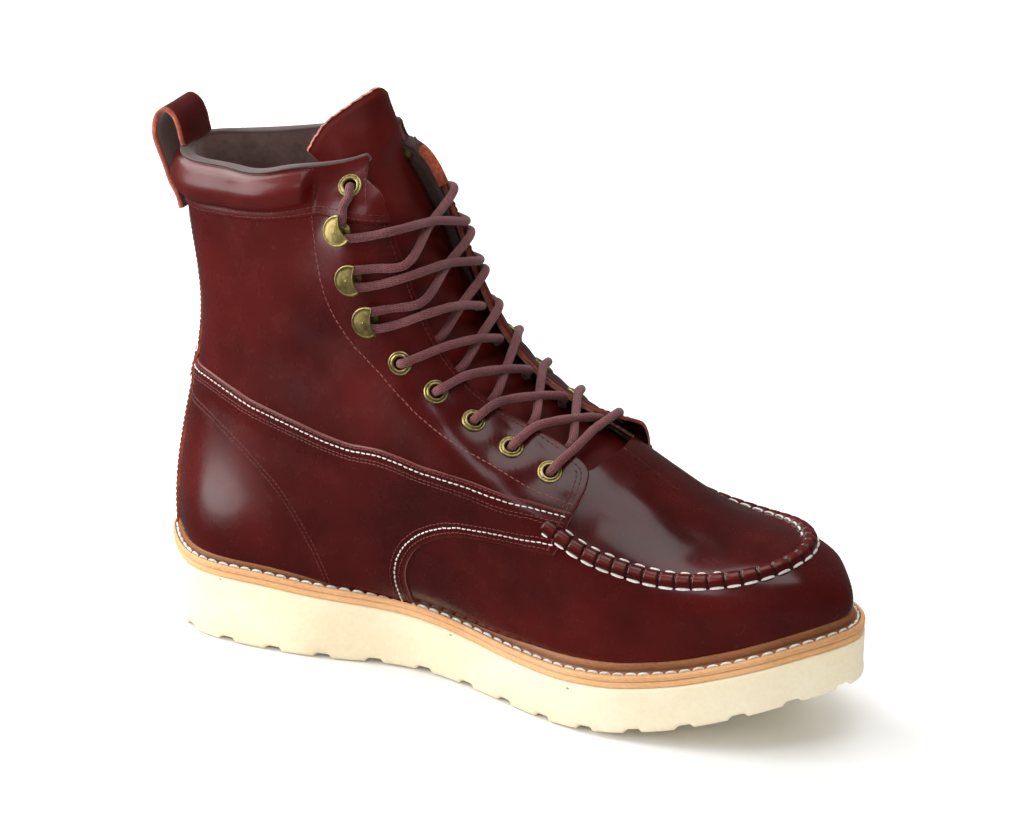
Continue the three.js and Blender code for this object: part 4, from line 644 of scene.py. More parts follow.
def panel(name, loop, thick, height, grid=2.0, replaces=(), worn_edge=1.2, mats=None):
    """A leather panel: loop is a closed (a, v) line, height(P, av) gives its top above the form."""
    S = np.array([F.len, 140.0])
    loop = even(np.r_[loop, loop[:1]], .9)[:-1]
    area = ((loop[:, 0] * np.roll(loop[:, 1], -1) - loop[:, 1] * np.roll(loop[:, 0], -1))).sum()
    if area < 0: loop = loop[::-1]
    ext = np.r_[loop[-3:], loop, loop[:3]]
    # inward is to the left of the loop when a runs right and v runs up; the surface seen from outside is mirrored
    test = shift(ext, .5)[3:-3]; c = loop[:-1]; sgn = 1.0 if abs(_poly_area(test * S)) < abs(_poly_area(loop * S)) else -1.0
    rings, ks = [loop], [0, .22, .55, 1.5]
    for k in ks[1:]: rings.append(shift(ext, sgn * k)[3:-3])
    lo, hi = loop.min(0), loop.max(0)
    na = int((hi[0] - lo[0]) * F.len / grid) + 2; nv = int((hi[1] - lo[1]) * 140 / grid) + 2
    ga, gv = np.meshgrid(np.linspace(lo[0], hi[0], na), np.linspace(lo[1], hi[1], nv), indexing="ij"); g = np.c_[ga.ravel(), gv.ravel()]
    inside = _inside(g * S, rings[3] * S); 
    dist = np.full(len(g), 1e9)
    B = rings[3] * S
    for b in range(0, len(B), 1): dist = np.minimum(dist, ((g * S - B[b]) ** 2).sum(1))
    g = g[inside & (dist > (.45 * grid) ** 2)]
    n = len(loop); holes = []
    for sp in HOLES:
        c = sp["av"].copy(); c[0] -= 1.0 if c[0] > .5 and lo[0] < -.05 else 0.0
        if _inside(c[None] * S, rings[3] * S)[0]:
            ring_h = circle_av(sp, HOLE_R); ring_h[:, 0] += c[0] - sp["av"][0]; holes.append((c, ring_h))
            g = g[np.linalg.norm((g - c) * S, axis=1) > HOLE_R + .6]
    hp = np.concatenate([h[1] for h in holes]) if holes else np.zeros((0, 2))
    pts = np.r_[rings[0], rings[1], rings[2], rings[3], hp, g]; i = np.arange(n)
    edges = [np.c_[i + k * n, (i + 1) % n + k * n] for k in range(4)]
    for k, h in enumerate(holes):
        j = np.arange(20) + 4 * n + 20 * k; edges.append(np.c_[j, np.roll(j, -1)])
    edges = np.concatenate(edges)
    out = delaunay_2d_cdt([Vector(p) for p in (pts * S).tolist()], [tuple(map(int, e)) for e in edges], [list(range(n))], 1, 1e-4)
    uv = np.array([tuple(v) for v in out[0]]) / S; tris = np.array([f for f in out[2] if len(f) == 3])
    orig = [o[0] if o else -1 for o in out[3]]; orig = np.array(orig)
    ringno = np.where((orig >= 0) & (orig < 4 * n), orig // n, 4)
    drop = np.select([ringno == 0, ringno == 1, ringno == 2], [.42, .10, .0], 0.0)
    base = F.at(uv[:, 0], uv[:, 1]); N = F.nrm(uv[:, 0], uv[:, 1]); top = height(base, uv)
    # keep triangles whose middle is inside the loop
    mid = uv[tris].mean(1); keep = _inside(mid * S, loop * S)
    for c, ring_h in holes: keep &= ~_inside(mid * S, ring_h * S)
    tris = tris[keep]
    cr = np.cross(base[tris[:, 1]] - base[tris[:, 0]], base[tris[:, 2]] - base[tris[:, 0]]); flip = (cr * N[tris[:, 0]]).sum(1) < 0; tris[flip] = tris[flip][:, ::-1]
    P = base + N * (top - drop * min(1, thick / 1.2))[:, None]
    # wall under the rim of the panel
    where = {int(o): k for k, o in enumerate(orig) if 0 <= o < n}; rim = np.array([where.get(k, -1) for k in range(n)]); rim = rim[rim >= 0]
    q = len(P); r0 = uv[rim]; b0 = F.at(r0[:, 0], r0[:, 1]); n0 = F.nrm(r0[:, 0], r0[:, 1]); wob = .06 * np.sin(np.arange(len(rim)) * 2.3) * np.sin(np.arange(len(rim)) * .37)
    t0 = top[rim]; V = np.r_[P, P[rim] , b0 + n0 * (t0 - thick * .55 + wob)[:, None], b0 + n0 * (t0 - thick - .25)[:, None]]
    m = len(rim); k = np.arange(m); k2 = (k + 1) % m; quads = np.concatenate([np.c_[q + s * m + k, q + s * m + k2, q + (s + 1) * m + k2, q + (s + 1) * m + k] for s in (0, 1)])
    cn = np.cross(V[quads[:, 1]] - V[quads[:, 0]], V[quads[:, 3]] - V[quads[:, 0]]); outv = b0[k] - F.at(shift(ext, sgn * 1.0)[3:-3][:, 0], shift(ext, sgn * 1.0)[3:-3][:, 1])[:m]
    if (cn[:m] * outv).sum() < 0: quads = quads[:, ::-1]
    eps = .6; vn = N.copy()
    # shading normals from the top surface itself
    hN = np.zeros_like(V); fn = np.cross(V[tris[:, 1]] - V[tris[:, 0]], V[tris[:, 2]] - V[tris[:, 0]])
    for c3 in range(3): np.add.at(hN, tris[:, c3], fn)
    qn = np.cross(V[quads[:, 1]] - V[quads[:, 0]], V[quads[:, 3]] - V[quads[:, 0]])
    for c3 in range(4): np.add.at(hN, quads[:, c3], qn)
    hN = unit(hN); flat = ringno >= 3; grad = unit(hN[:q]); use = N.copy(); blend = np.where(flat, 1.0, .0)[:, None]
    hN[:q] = unit(grad * (1 - blend) + _tilted(base, N, uv, height) * blend)
    worn = np.r_[np.select([ringno == 0, ringno == 1, ringno == 2], [.9, .6, .15], 0.0) * worn_edge / 1.2, np.ones(3 * m)]
    Q = quads; idx = np.r_[np.ones(len(Q)), np.zeros(len(tris))]
    return mesh(name, V, tris, Q, mats or (LEATHER, RAW), normals=hN, index=idx, attrs={"worn": worn}, replaces=replaces)

def _poly_area(p): return .5 * (p[:, 0] * np.roll(p[:, 1], -1) - p[:, 1] * np.roll(p[:, 0], -1)).sum()
def _inside(pts, poly):
    c = np.zeros(len(pts), bool); x, y = pts[:, 0], pts[:, 1]; a = poly; b = np.roll(poly, -1, 0)
    for (x0, y0), (x1, y1) in zip(a, b):
        if y0 == y1: continue
        k = ((y0 > y) != (y1 > y)); c ^= k & (x < (x1 - x0) * (y - y0) / (y1 - y0) + x0)
    return c
def _tilted(base, N, uv, height):
    """Normals of form plus height field."""
    e = 2e-3; uv1, uv2 = uv + [e, 0], uv + [0, e * 3]; uv1b, uv2b = uv - [e, 0], uv - [0, e * 3]
    f = lambda w: (lambda p: p + F.nrm(w[:, 0], w[:, 1]) * height(p, w)[:, None])(F.at(w[:, 0], np.clip(w[:, 1], 0, 1)))
    n = unit(np.cross(f(uv1) - f(uv1b), f(uv2) - f(uv2b))); s = np.sign((n * N).sum(1)); s[s == 0] = 1
    n = n * s[:, None]; bad = (n * N).sum(1) < .8; n[bad] = N[bad]; return n

def near(av, line, S=None):
    """Distance in mm from (a, v) points to a line, signed by v above it."""
    L = F.at(line[:, 0], line[:, 1])
    P = F.at(av[:, 0], av[:, 1]); d = np.full(len(P), 1e9); k = np.zeros(len(P), int)
    for i in range(0, len(L), 3):
        e = ((P - L[i]) ** 2).sum(1); b = e < d; d[b] = e[b]; k[b] = i
    return np.sqrt(d), np.sign(av[:, 1] - line[k, 1])

# how proud of the form each panel lies
def rows_field(P, uv, base):
    return base

def make_wall():
    n, mo, mi = 440, 118, 46
    a = np.arange(n) / n; e = F.end_at(a); ku = np.interp(np.interp(a * F.len, F.dd, F.uu), T, np.arange(len(T))); ku = np.minimum(ku, 24 - ku)
    pole = ku >= 8.97; e = np.where(pole, np.minimum(e, 1 - 3.4 / 120), e)
    vo = np.linspace(0, 1, mo)[None] * e[:, None]; vi = np.linspace(1, 0, mi)[None] * e[:, None]
    A2 = a[:, None]; Po = F.at(A2 + 0 * vo, vo); Pi = F.at(A2 + 0 * vi, vi, -2.0)
    No, Ni = F.nrm(A2 + 0 * vo, vo), -F.nrm(A2 + 0 * vi, vi)
    V = np.concatenate([Po, Pi], 1); N = np.concatenate([No, Ni], 1); m = mo + mi
    Q = grid_quads(n, m, closed_n=True, closed_m=True); j = Q[:, 0] % m
    # skin, raw edge, lining
    idx = np.where(j < mo - 1, 0, np.where(j == mo - 1, 1, np.where(j == m - 1, 1, 2)))
    V = V.reshape(-1, 3)
    # throat and rim: neighbours whose edges jump round the corner of the throat are joined all the same
    Q = oriented(V, Q); mid = V[Q].mean(1); keep = np.ones(len(Q), bool)
    for sp in HOLES:
        d = mid - sp["p"]; h = d @ sp["n"]; keep &= ~((np.linalg.norm(d - h[:, None] * sp["n"], axis=1) < 3.6) & (np.abs(h) < 5))
    # painted shade: the upper and its lining darken low down, in the crevice behind the welt's lip
    dark = np.clip(1 - (V[:, 2] - wedge_top(V[:, 0]) - MID - 2.6) / 3.0, 0, 1) * .8
    # the ribs of the toe end short of one point, which a small fan on the fitted sheet closes
    col = Q[:, [0, 1, 2, 3]] // m; both_pole = pole[col].all(1); seam_q = both_pole & (((Q % m) == mo - 1).any(1)) & (((Q % m) == mo).any(1)); keep &= ~seam_q
    k = np.nonzero(pole)[0]; rimv = k * m + mo - 1; c = V[rimv].mean(0); c[2] += .0; n0 = len(V); V = np.r_[V, [c]]; N = np.concatenate([N.reshape(-1, 3), [unit(N[k, mo - 1].mean(0))]]); fan = np.c_[rimv[:-1], rimv[1:], np.full(len(k) - 1, n0)]
    fan = np.r_[fan, [[rimv[-1], rimv[0], n0]]]; fc = np.cross(V[fan[:, 1]] - V[fan[:, 0]], V[fan[:, 2]] - V[fan[:, 0]]); fan = fan[:, ::-1] if fc[:, 2].sum() < 0 else fan; dark = np.r_[dark, 0]
    rimi = k * m + mo; n1 = len(V); V = np.r_[V, [V[rimi].mean(0)]]; N = np.r_[N, [[0, 0, -1.0]]]; fan2 = np.c_[rimi, np.roll(rimi, -1), np.full(len(k), n1)]; dark = np.r_[dark, 0]
    idx = np.where((Q[:, 0] % m == m - 1) | (Q[:, 1] % m == 0) & (Q[:, 0] % m == m - 1), 1, np.where(np.minimum(Q.min(1) % m, Q.max(1) % m) >= mo, 2, np.where((Q % m).max(1) < mo, 0, 1)))
    mesh("upper_wall", V, np.r_[fan, fan2], Q[keep], (LEATHER, RAW, LINING), normals=N.reshape(-1, 3), index=np.r_[idx[keep], np.zeros(len(fan)), np.full(len(fan2), 2)], attrs={"dark": dark}, replaces=("upper",))
make_wall()

def make_crown():
    """A small round of the same skin over the point where the ribs of the toe end."""
    X, c = CROWN; r = np.linspace(0, 9.6, 18)[1:]; t = np.linspace(0, 2 * np.pi, 72, endpoint=False); x, y = 233 + r[:, None] * np.cos(t), r[:, None] * np.sin(t)
    f = lambda x, y: (X(x.ravel(), y.ravel()) @ c).reshape(x.shape); e = .2; z = f(x, y) + .1 - .45 * ramp_(9.0, 9.6, r)[:, None]
    N = unit(np.stack([-(f(x + e, y) - f(x - e, y)) / (2 * e), -(f(x, y + e) - f(x, y - e)) / (2 * e), 0 * x + 1], -1)).reshape(-1, 3); V = np.stack([x, y, z], -1).reshape(-1, 3)
    q = grid_quads(17, 72, closed_m=True)[:, ::1]; z0 = float((X(A([233.0]), A([0.0])) @ c)[0]) + .1; V = np.r_[V, [[233, 0, z0]]]; N = np.r_[N, [N[:72].mean(0)]]; j = np.arange(72)
    t3 = np.c_[j, np.roll(j, -1), np.full(72, len(V) - 1)]
    fix = lambda F4: F4[:, ::-1] if np.cross(V[F4[0, 1]] - V[F4[0, 0]], V[F4[0, 2]] - V[F4[0, 0]])[2] < 0 else F4
    mesh("vamp_crown", V, fix(t3), fix(q), (LEATHER,), normals=N)
def ramp_(a, b, q): return np.clip((q - a) / (b - a), 0, 1) ** 2
make_crown()
# ------------------------------------------------------------------ panels
CUT_A = .156                                       # column of the collar roll's front end
def ramp01(x): return np.clip(x, 0, 1) ** 2 * (3 - 2 * np.clip(x, 0, 1))

def line_v(line, a):
    """v of a line at columns a, for lines that run along the boot."""
    o = np.argsort(line[:, 0]); return np.interp(a, line[o, 0], line[o, 1])
QUARTER_ALL = np.r_[QS_M, QS_L[::-1]]              # a from 0 to the front, and on round to 1
def over_quarter(uv): return (uv[:, 1] - line_v(QUARTER_ALL, np.mod(uv[:, 0], 1))) * 135.0

EDGE = 1.25
# the outer eyestay's lower corner has sprung up off the vamp
def sprung(P): return 6.5 * np.clip(1 - np.linalg.norm(P - A([198, 20, 97]), axis=-1) / 25, 0, 1) ** 1.6
def height_shaft(P, uv): return np.full(len(uv), EDGE) + (sprung(P) if P is not None else 0)
def height_quarter(P, uv):
    q = over_quarter(uv); return EDGE + .85 * ramp01((q + 7.5) / 5.0) + (sprung(P) if P is not None else 0)

def make_panels():
    # shaft: from just under the quarter seam to the throat edge and the rim
    up_m = shift(QS_M, -1.0); lo_m = QS_M.copy(); lo_m[:, 1] -= .028; lo_l = QS_L.copy(); lo_l[:, 1] -= .028
    def front_above(front, quarter):
        v = quarter[-1, 1] - .028; k = front[:, 1] > v; return front[k]
    f_m, f_l = front_above(FR_M, QS_M), front_above(FR_L, QS_L)
    # the throat edge from the rounded corner up to the top, then round the rim
    t_m = end_line(f_m[-1, 0] - .002, .0, 900, .35); t_l = end_line(1.0, f_l[-1, 0] + .002, 900, .35)
    cut_m, cut_l = f_m[-1, 0], f_l[-1, 0]
    low_m = lo_m[lo_m[:, 0] < f_m[0, 0] - .001]; low_l = lo_l[lo_l[:, 0] > f_l[0, 0] + .001]
    loop = np.r_[low_m, f_m, t_m[1:], ]
    loop_l = np.r_[low_l, f_l, t_l[::-1][1:]]
    # one panel round the heel: negative columns are the outer side
    neg = loop_l.copy(); neg[:, 0] -= 1.0
    whole = np.r_[low_m, f_m, t_m[1:-1], (lambda q: q)(np.c_[t_l[:, 0] - 1, t_l[:, 1]]), np.c_[f_l[:, 0] - 1, f_l[:, 1]][::-1], np.c_[low_l[:, 0] - 1, low_l[:, 1]][::-1]]
    panel("shaft_panel", whole, 1.25, height_shaft, grid=2.0)
    # lower quarter and counter: over the shaft's lower edge, half-moon cut out over the vamp
    top_m, top_l = shift(QS_M, 2.6 if shift(QS_M, 1.0)[100, 1] > QS_M[100, 1] else -2.6), shift(QS_L, 2.6 if shift(QS_L, 1.0)[100, 1] > QS_L[100, 1] else -2.6)
    def meet(front, top):
        k = front[:, 1] < top[-1, 1]; return front[k]
    g_m, g_l = meet(FR_M, top_m), meet(FR_L, top_l)
    tm = top_m[top_m[:, 0] < g_m[-1, 0] - .0005]; tl = top_l[top_l[:, 0] > g_l[-1, 0] + .0005]
    hm, hl = HM_M[HM_M[:, 1] > .004], HM_L[HM_L[:, 1] > .004]
    bot = np.c_[np.linspace(hl[0, 0] - 1, hm[0, 0], 500), np.full(500, .004)]
    whole = np.r_[hm, g_m[1:], tm[::-1], np.c_[tl[:, 0] - 1, tl[:, 1]], np.c_[g_l[:, 0] - 1, g_l[:, 1]][::-1][:-1], np.c_[hl[:, 0] - 1, hl[:, 1]][::-1], bot[1:-1]]
    panel("quarter_panel", whole, 1.25, height_quarter, grid=2.1)
make_panels()

def proud(av):
    """Height of the outermost leather above the form at (a, v) points: panels where they are, bare wall elsewhere."""
    av = np.asarray(av, float); a = np.mod(av[:, 0], 1.0); m = np.minimum(a, 1 - a); q = over_quarter(np.c_[a, av[:, 1]])
    S = A([F.len, 140.0]); inner = a < .5; h = np.zeros(len(av))
    for side, fr, hm in ((True, FR_M, HM_M), (False, FR_L, HM_L)):
        k = inner == side
        if not k.any(): continue
        ring0 = np.r_[hm, fr[1:]]; far = A([[0.0 if side else 1.0, 1.2], [0.0 if side else 1.0, -.2]]); poly = np.r_[ring0, [[fr[-1, 0], 1.2]], far]
        h[k] = np.where(_inside(av[k] * S, poly * S), EDGE, 0.0)
    return np.where(h > 0, np.where(q > 2.6, EDGE, EDGE + .85 * ramp01((q + 7.5) / 5.0)) + sprung(F.at(a, np.clip(av[:, 1], 0, 1))), 0.0)

def sew(heap, av, pitch, width, gap=.22, lift=.12, thick=None, mat=0, high=None, wob=.05, fade=None):
    """Separate stitches along an (a, v) line."""
    L = even(av, .5); P = F.at(L[:, 0], L[:, 1]); d = np.r_[0, np.cumsum(np.linalg.norm(np.diff(P, axis=0), axis=1))]; n = max(1, int(d[-1] / pitch)); pitch = d[-1] / n
    H = proud(L) if high is None else np.full(len(L), high)
    for i in range(n):
        c = (i + .5) * pitch; half = pitch * (1 - gap) / 2; t = np.linspace(-1, 1, 5); w = np.clip(c + half * t, 0, d[-1])
        a, v = np.interp(w, d, L[:, 0]), np.interp(w, d, L[:, 1]); Q = F.at(a, v); N = F.nrm(a, v); h = np.interp(w, d, H)
        r = width / 2 * (rng.uniform(.92, 1.08)); B = unit(np.cross(N, np.gradient(Q, axis=0))); off = rng.normal(0, wob)
        C = Q + N * (h + lift - r * .35 * np.abs(t) ** 4 - r * .15)[:, None] + B * (off + rng.normal(0, wob) * t)[:, None]
        V, q, t3 = capped(tube_pts(C, r * (1 - .5 * np.abs(t) ** 4), 5, up=N)); heap.add(V, q, t3, mat)

def side_of(line, k):
    """Shifts a line upwards on the boot by k mm."""
    s = shift(line, 1.0); up = np.mean(s[:, 1] - line[:, 1]) > 0; return shift(line, k if up else -k)
def outside_of(line, k, inner):
    s = shift(line, 1.0); away = (np.mean(s[:60, 0] - line[:60, 0]) < 0) == inner; return shift(line, k if away else -k)

def make_stitches():
    red, white, pink = Heap(), Heap(), Heap()
    for inner, QS, CT, HM, FR, SR in ((True, QS_M, CT_M, HM_M, FR_M, SR_M), (False, QS_L, CT_L, HM_L, FR_L, SR_L)):
        far = lambda L, m: L[np.minimum(L[:, 0], 1 - L[:, 0]) > m]
        Q = far(QS, .016); end = FR[np.argmin(np.abs(FR[:, 1] - QS[-1, 1])), 0]; Q = Q[(Q[:, 0] < end - .002) if inner else (Q[:, 0] > end + .002)]
        sew(white, Q, 2.55, .62, .26, .18); sew(red, side_of(Q, 1.55), 2.0, .5, .2); sew(red, side_of(Q, -2.6), 2.0, .5, .2); sew(red, side_of(Q, -3.9), 2.0, .5, .2)
        C = far(CT, .018); sew(red, side_of(C, 0), 1.9, .52, .2); sew(red, side_of(C, -1.9), 1.9, .52, .2)
        H = HM[HM[:, 1] > .01]
        for k, heap, w, p in ((2.2, red, .5, 1.9), (4.3, white, .62, 2.3), (6.3, red, .5, 2.0)):
            L = outside_of(H, k, inner); e = FR[np.argmin(np.abs(FR[:, 1] - L[-1, 1])), 0]; L = L[(L[:, 1] > .012) & ((L[:, 0] < e - .003) if inner else (L[:, 0] > e + .003))]
            sew(heap, L, p, w, .24, .14)
        f = FR[FR[:, 1] > .43]; back = shift(f, 3.0); back = back if (np.mean(back[:, 0] - f[:, 0]) < 0) == inner else shift(f, -3.0); sew(red, back[back[:, 1] < .80], 2.2, .5, .22)
        back2 = shift(f, 4.9) if (np.mean(shift(f, 1.0)[:, 0] - f[:, 0]) < 0) == inner else shift(f, -4.9); sew(red, back2[(back2[:, 1] < .76) & (back2[:, 1] > .6)], 2.2, .5, .22)
        sew(pink, SR, 2.5, .5, .28)
        # row along the throat edge
        a0, a1 = (.318, .166) if inner else (1 - .318, 1 - .166)
        t = end_line(a0, a1, 500, 0.0); t = t[:, :]; t = shift(t, 2.9) if np.mean(shift(t, 1.0)[:, 1] - t[:, 1]) < 0 else shift(t, -2.9); t = seam(t[::25], 400); sew(red, t, 2.3, .5, .22)
    red.done("red_stitches", (RED_THREAD,), "upper_leather"); white.done("white_stitches", (WHITE_THREAD,), "upper_leather"); pink.done("stay_stitches", (PINK_THREAD,), "upper_leather")
make_stitches()
# ------------------------------------------------------------------ collar roll, backstay and pull loop
COLLAR_LOW = A([(0, 176.2), (13, 176.4), (26, 176.4), (47, 179.2), (66, 183.2), (83, 187.2), (100, 187.0), (115, 186)])
def low_v(a):
    """v where a column passes the collar's lower edge."""
    v = np.linspace(.5, 1, 160); P = F.at(a[:, None] + 0 * v, v[None] + 0 * a[:, None]); g = P[..., 2] - np.interp(P[..., 0], COLLAR_LOW[:, 0], COLLAR_LOW[:, 1])
    out = np.ones(len(a))
    for i in range(len(a)):
        k = np.nonzero(g[i] > 0)[0]
        if len(k) and k[0] > 0: k = k[0]; t = g[i, k - 1] / (g[i, k - 1] - g[i, k]); out[i] = v[k - 1] + t * (v[1] - v[0])
    return out

def make_collar():
    aa = np.linspace(0, .3, 900); vl = low_v(aa); en = F.end_at(aa); a_m = aa[np.nonzero((vl >= en - .004) & (aa > .08))[0][0]]
    bb = np.linspace(1, .7, 900); vb = low_v(bb); eb = F.end_at(bb); a_l = bb[np.nonzero((vb >= eb - .004) & (bb < .92))[0][0]]
    n = 520; a = np.linspace(a_l - 1, a_m, n); v0 = low_v(np.mod(a, 1)); v1 = F.end_at(a); v1 = np.maximum(v1, v0 + .002)
    rim = F.at(a, v1); x = rim[:, 0]; xm = F.at(a, (v0 + v1) / 2)[:, 0]
    puff = 1 - ramp01((xm - 75.5) / 4.5)                                    # the padding ends at the upright seam
    tall = np.linalg.norm(F.at(a, v1) - F.at(a, v0), axis=1)
    rows = []; kind = []; r_out = np.r_[0, .012, .03, .09, .16, .2, np.linspace(.24, .97, 22), 1.0]
    for r in r_out:
        v = v0 + (v1 - v0) * r; mm = r * tall
        flat = EDGE + .95; edge = -.45 * np.clip(1 - mm / .5, 0, 1)
        q = np.clip((mm - 4.2) / np.maximum(tall - 4.2 - .6, 1), 0, 1); b = np.sin(np.pi * q ** .88) ** .72
        seamline = -.5 * np.exp(-((mm - 4.3) / .8) ** 2) * puff
        lumps = .28 * np.sin(a * F.len / 9.0 + 2 * np.sin(a * 31)) + .2 * np.sin(a * F.len / 4.1 + 1)
        d = flat + edge + seamline + puff * b * (4.7 + .12 * lumps) - .9 * puff * np.clip((r - .93) / .07, 0, 1)
        # the end seam of the padding pulls the flap in a little
        d = d - .35 * np.exp(-((xm - 80.5) / 1.3) ** 2) * np.clip(mm / 3, 0, 1)
        rows.append(F.at(a, v, 0) + F.nrm(a, v) * d[:, None]); kind.append(0)
    nr = F.nrm(a, np.minimum(v1, .985)); top = A([0, 0, 1.0]); T0 = unit(np.gradient(rim, axis=0)); upv = unit(np.cross(T0, nr)); upv *= np.sign(upv[:, 2:3] + 1e-9)
    fl = np.clip(puff, 0, 1)[:, None]
    bind = (1 - ramp01((x - 99.5) / 3.0))[:, None]
    for o, h in ((EDGE + .9, .3), (EDGE + .62, .75), (0.3, 1.0), (-1.6, 1.0), (-2.4, .75), (-2.8, .2)):
        rows.append(rim + nr * o + upv * h * bind); kind.append(1)
    # soft lining inside, gathered in shallow pleats
    depth = np.linspace(.4, 34, 24)
    for dd in depth:
        v = v1 - dd / 128.0 * np.clip(puff * .8 + .2, 0, 1) ; pl = np.sin(a * F.len / 3.9 + 3 * np.sin(a * 23) + dd * .05) * .5 + .6 * np.sin(a * F.len / 9.7 + dd * .12) + .35 * np.sin(a * F.len / 2.3 - dd * .16)
        pad = 2.2 * np.sin(np.pi * np.clip(dd / 34, 0, 1)) ** .7
        rows.append(F.at(a, v) + F.nrm(a, np.minimum(v, .985)) * (-2.6 - puff * pad - .45 * pl * np.sin(np.pi * np.clip(dd / 34, 0, 1)) * (.35 + .65 * puff))[:, None]); kind.append(2)
    G = np.stack(rows, 1); m = len(rows); Q = grid_quads(n, m); V = G.reshape(-1, 3)
    fn = np.cross(V[Q[:, 1]] - V[Q[:, 0]], V[Q[:, 3]] - V[Q[:, 0]]); c = F.nrm(np.repeat(a, m), np.tile(np.full(m, .95), n))[Q[:, 0]]
    first = (Q[:, 0] % m) < 20
    if (fn[first] * c[first]).sum() < 0: Q = Q[:, ::-1]
    j = Q.min(1) % m; idx = np.where(j < len(r_out) - 1, 0, 1); mid = V[Q].mean(1); keep = np.ones(len(Q), bool)
    for s in (-1, 1):
        sp = SPOTS[1, s]; d = mid - sp["p"]; h = d @ sp["n"]; keep &= ~((np.linalg.norm(d - h[:, None] * sp["n"], axis=1) < 3.3) & (np.abs(h) < 9))
    dark = np.zeros((n, m)); dark[:, :1] = .3; dark[:, len(r_out):len(r_out) + 6] = .75
    ob = mesh("collar_roll", V, None, Q[keep], (COLLAR, LINING), index=idx[keep], attrs={"dark": dark.ravel()}, replaces=("collar_pad",))
    # raw lower edge and the flap's front edge
    edge = np.r_[G[:, 0][::-1][:0], G[:, 0]]; H = Heap()
    N0 = F.nrm(a, v0); P0 = F.at(a, v0); low = P0 + N0 * (EDGE - .1); V2 = np.stack([G[:, 0], (G[:, 0] + low) / 2 + N0 * .05, low], 1); H.add(V2.reshape(-1, 3), grid_quads(n, 3))
    for sel in ((a > 0) & (v1 < .9999) & (x > 100), (a < 0) & (v1 < .9999) & (x > 100)):
        k = np.nonzero(sel)[0]
        if len(k) > 3:
            R = G[k][:, len(r_out) - 1]; U = F.at(a[k], v1[k]) + F.nrm(a[k], v1[k]) * -2.1; t = np.linspace(0, 1, 5)[None, :, None]
            E = unit(np.cross(np.gradient(rim[k], axis=0), F.nrm(a[k], v1[k]))); E *= np.sign((E * (A([140, 0, 190]) - rim[k])).sum(1, keepdims=True))
            W = R[:, None] * (1 - t) + U[:, None] * t + E[:, None] * (.45 * np.sin(np.pi * t)); H.add(W.reshape(-1, 3), grid_quads(len(k), 5))
    H.done("collar_raw_edges", (RAW,), "collar_leather")
    # stitches: two rows on the margin, one upright at the end of the padding
    red = Heap()
    def row_at(mm, h, a_lo=None, a_hi=None):
        s = np.minimum(mm / np.maximum(tall, 1), 1); L = np.c_[a, v0 + (v1 - v0) * s]; L = L[(tall > mm + 1.5) & (np.abs(a) > .014)]
        for part in (L[L[:, 0] < 0], L[L[:, 0] > 0]): sew(red, part, 2.15, .52, .2, .12, high=h)
    row_at(1.2, EDGE + .95); row_at(3.2, EDGE + .95)
    for s in (-1, 1):
        pts = F.find([(80.9 - .2 * k, s * 28, z) for k, z in enumerate(np.linspace(188, 209, 8))], s); pts[:, 0] -= (pts[:, 0] > .5) * 0.0
        sew(red, pts, 2.2, .52, .22, .1, high=EDGE + .72)
        pts = F.find([(82.6 + .35 * k, s * 30, z) for k, z in enumerate(np.linspace(182, 168, 5))], s)
        fr = F.find([(99.5 + .35 * k, s * 24, z) for k, z in enumerate(np.linspace(209, 189, 8))], s); sew(red, fr, 2.3, .52, .22, .1, high=EDGE + .95)
    red.done("collar_stitches", (RED_THREAD,), "collar_leather")
make_collar()

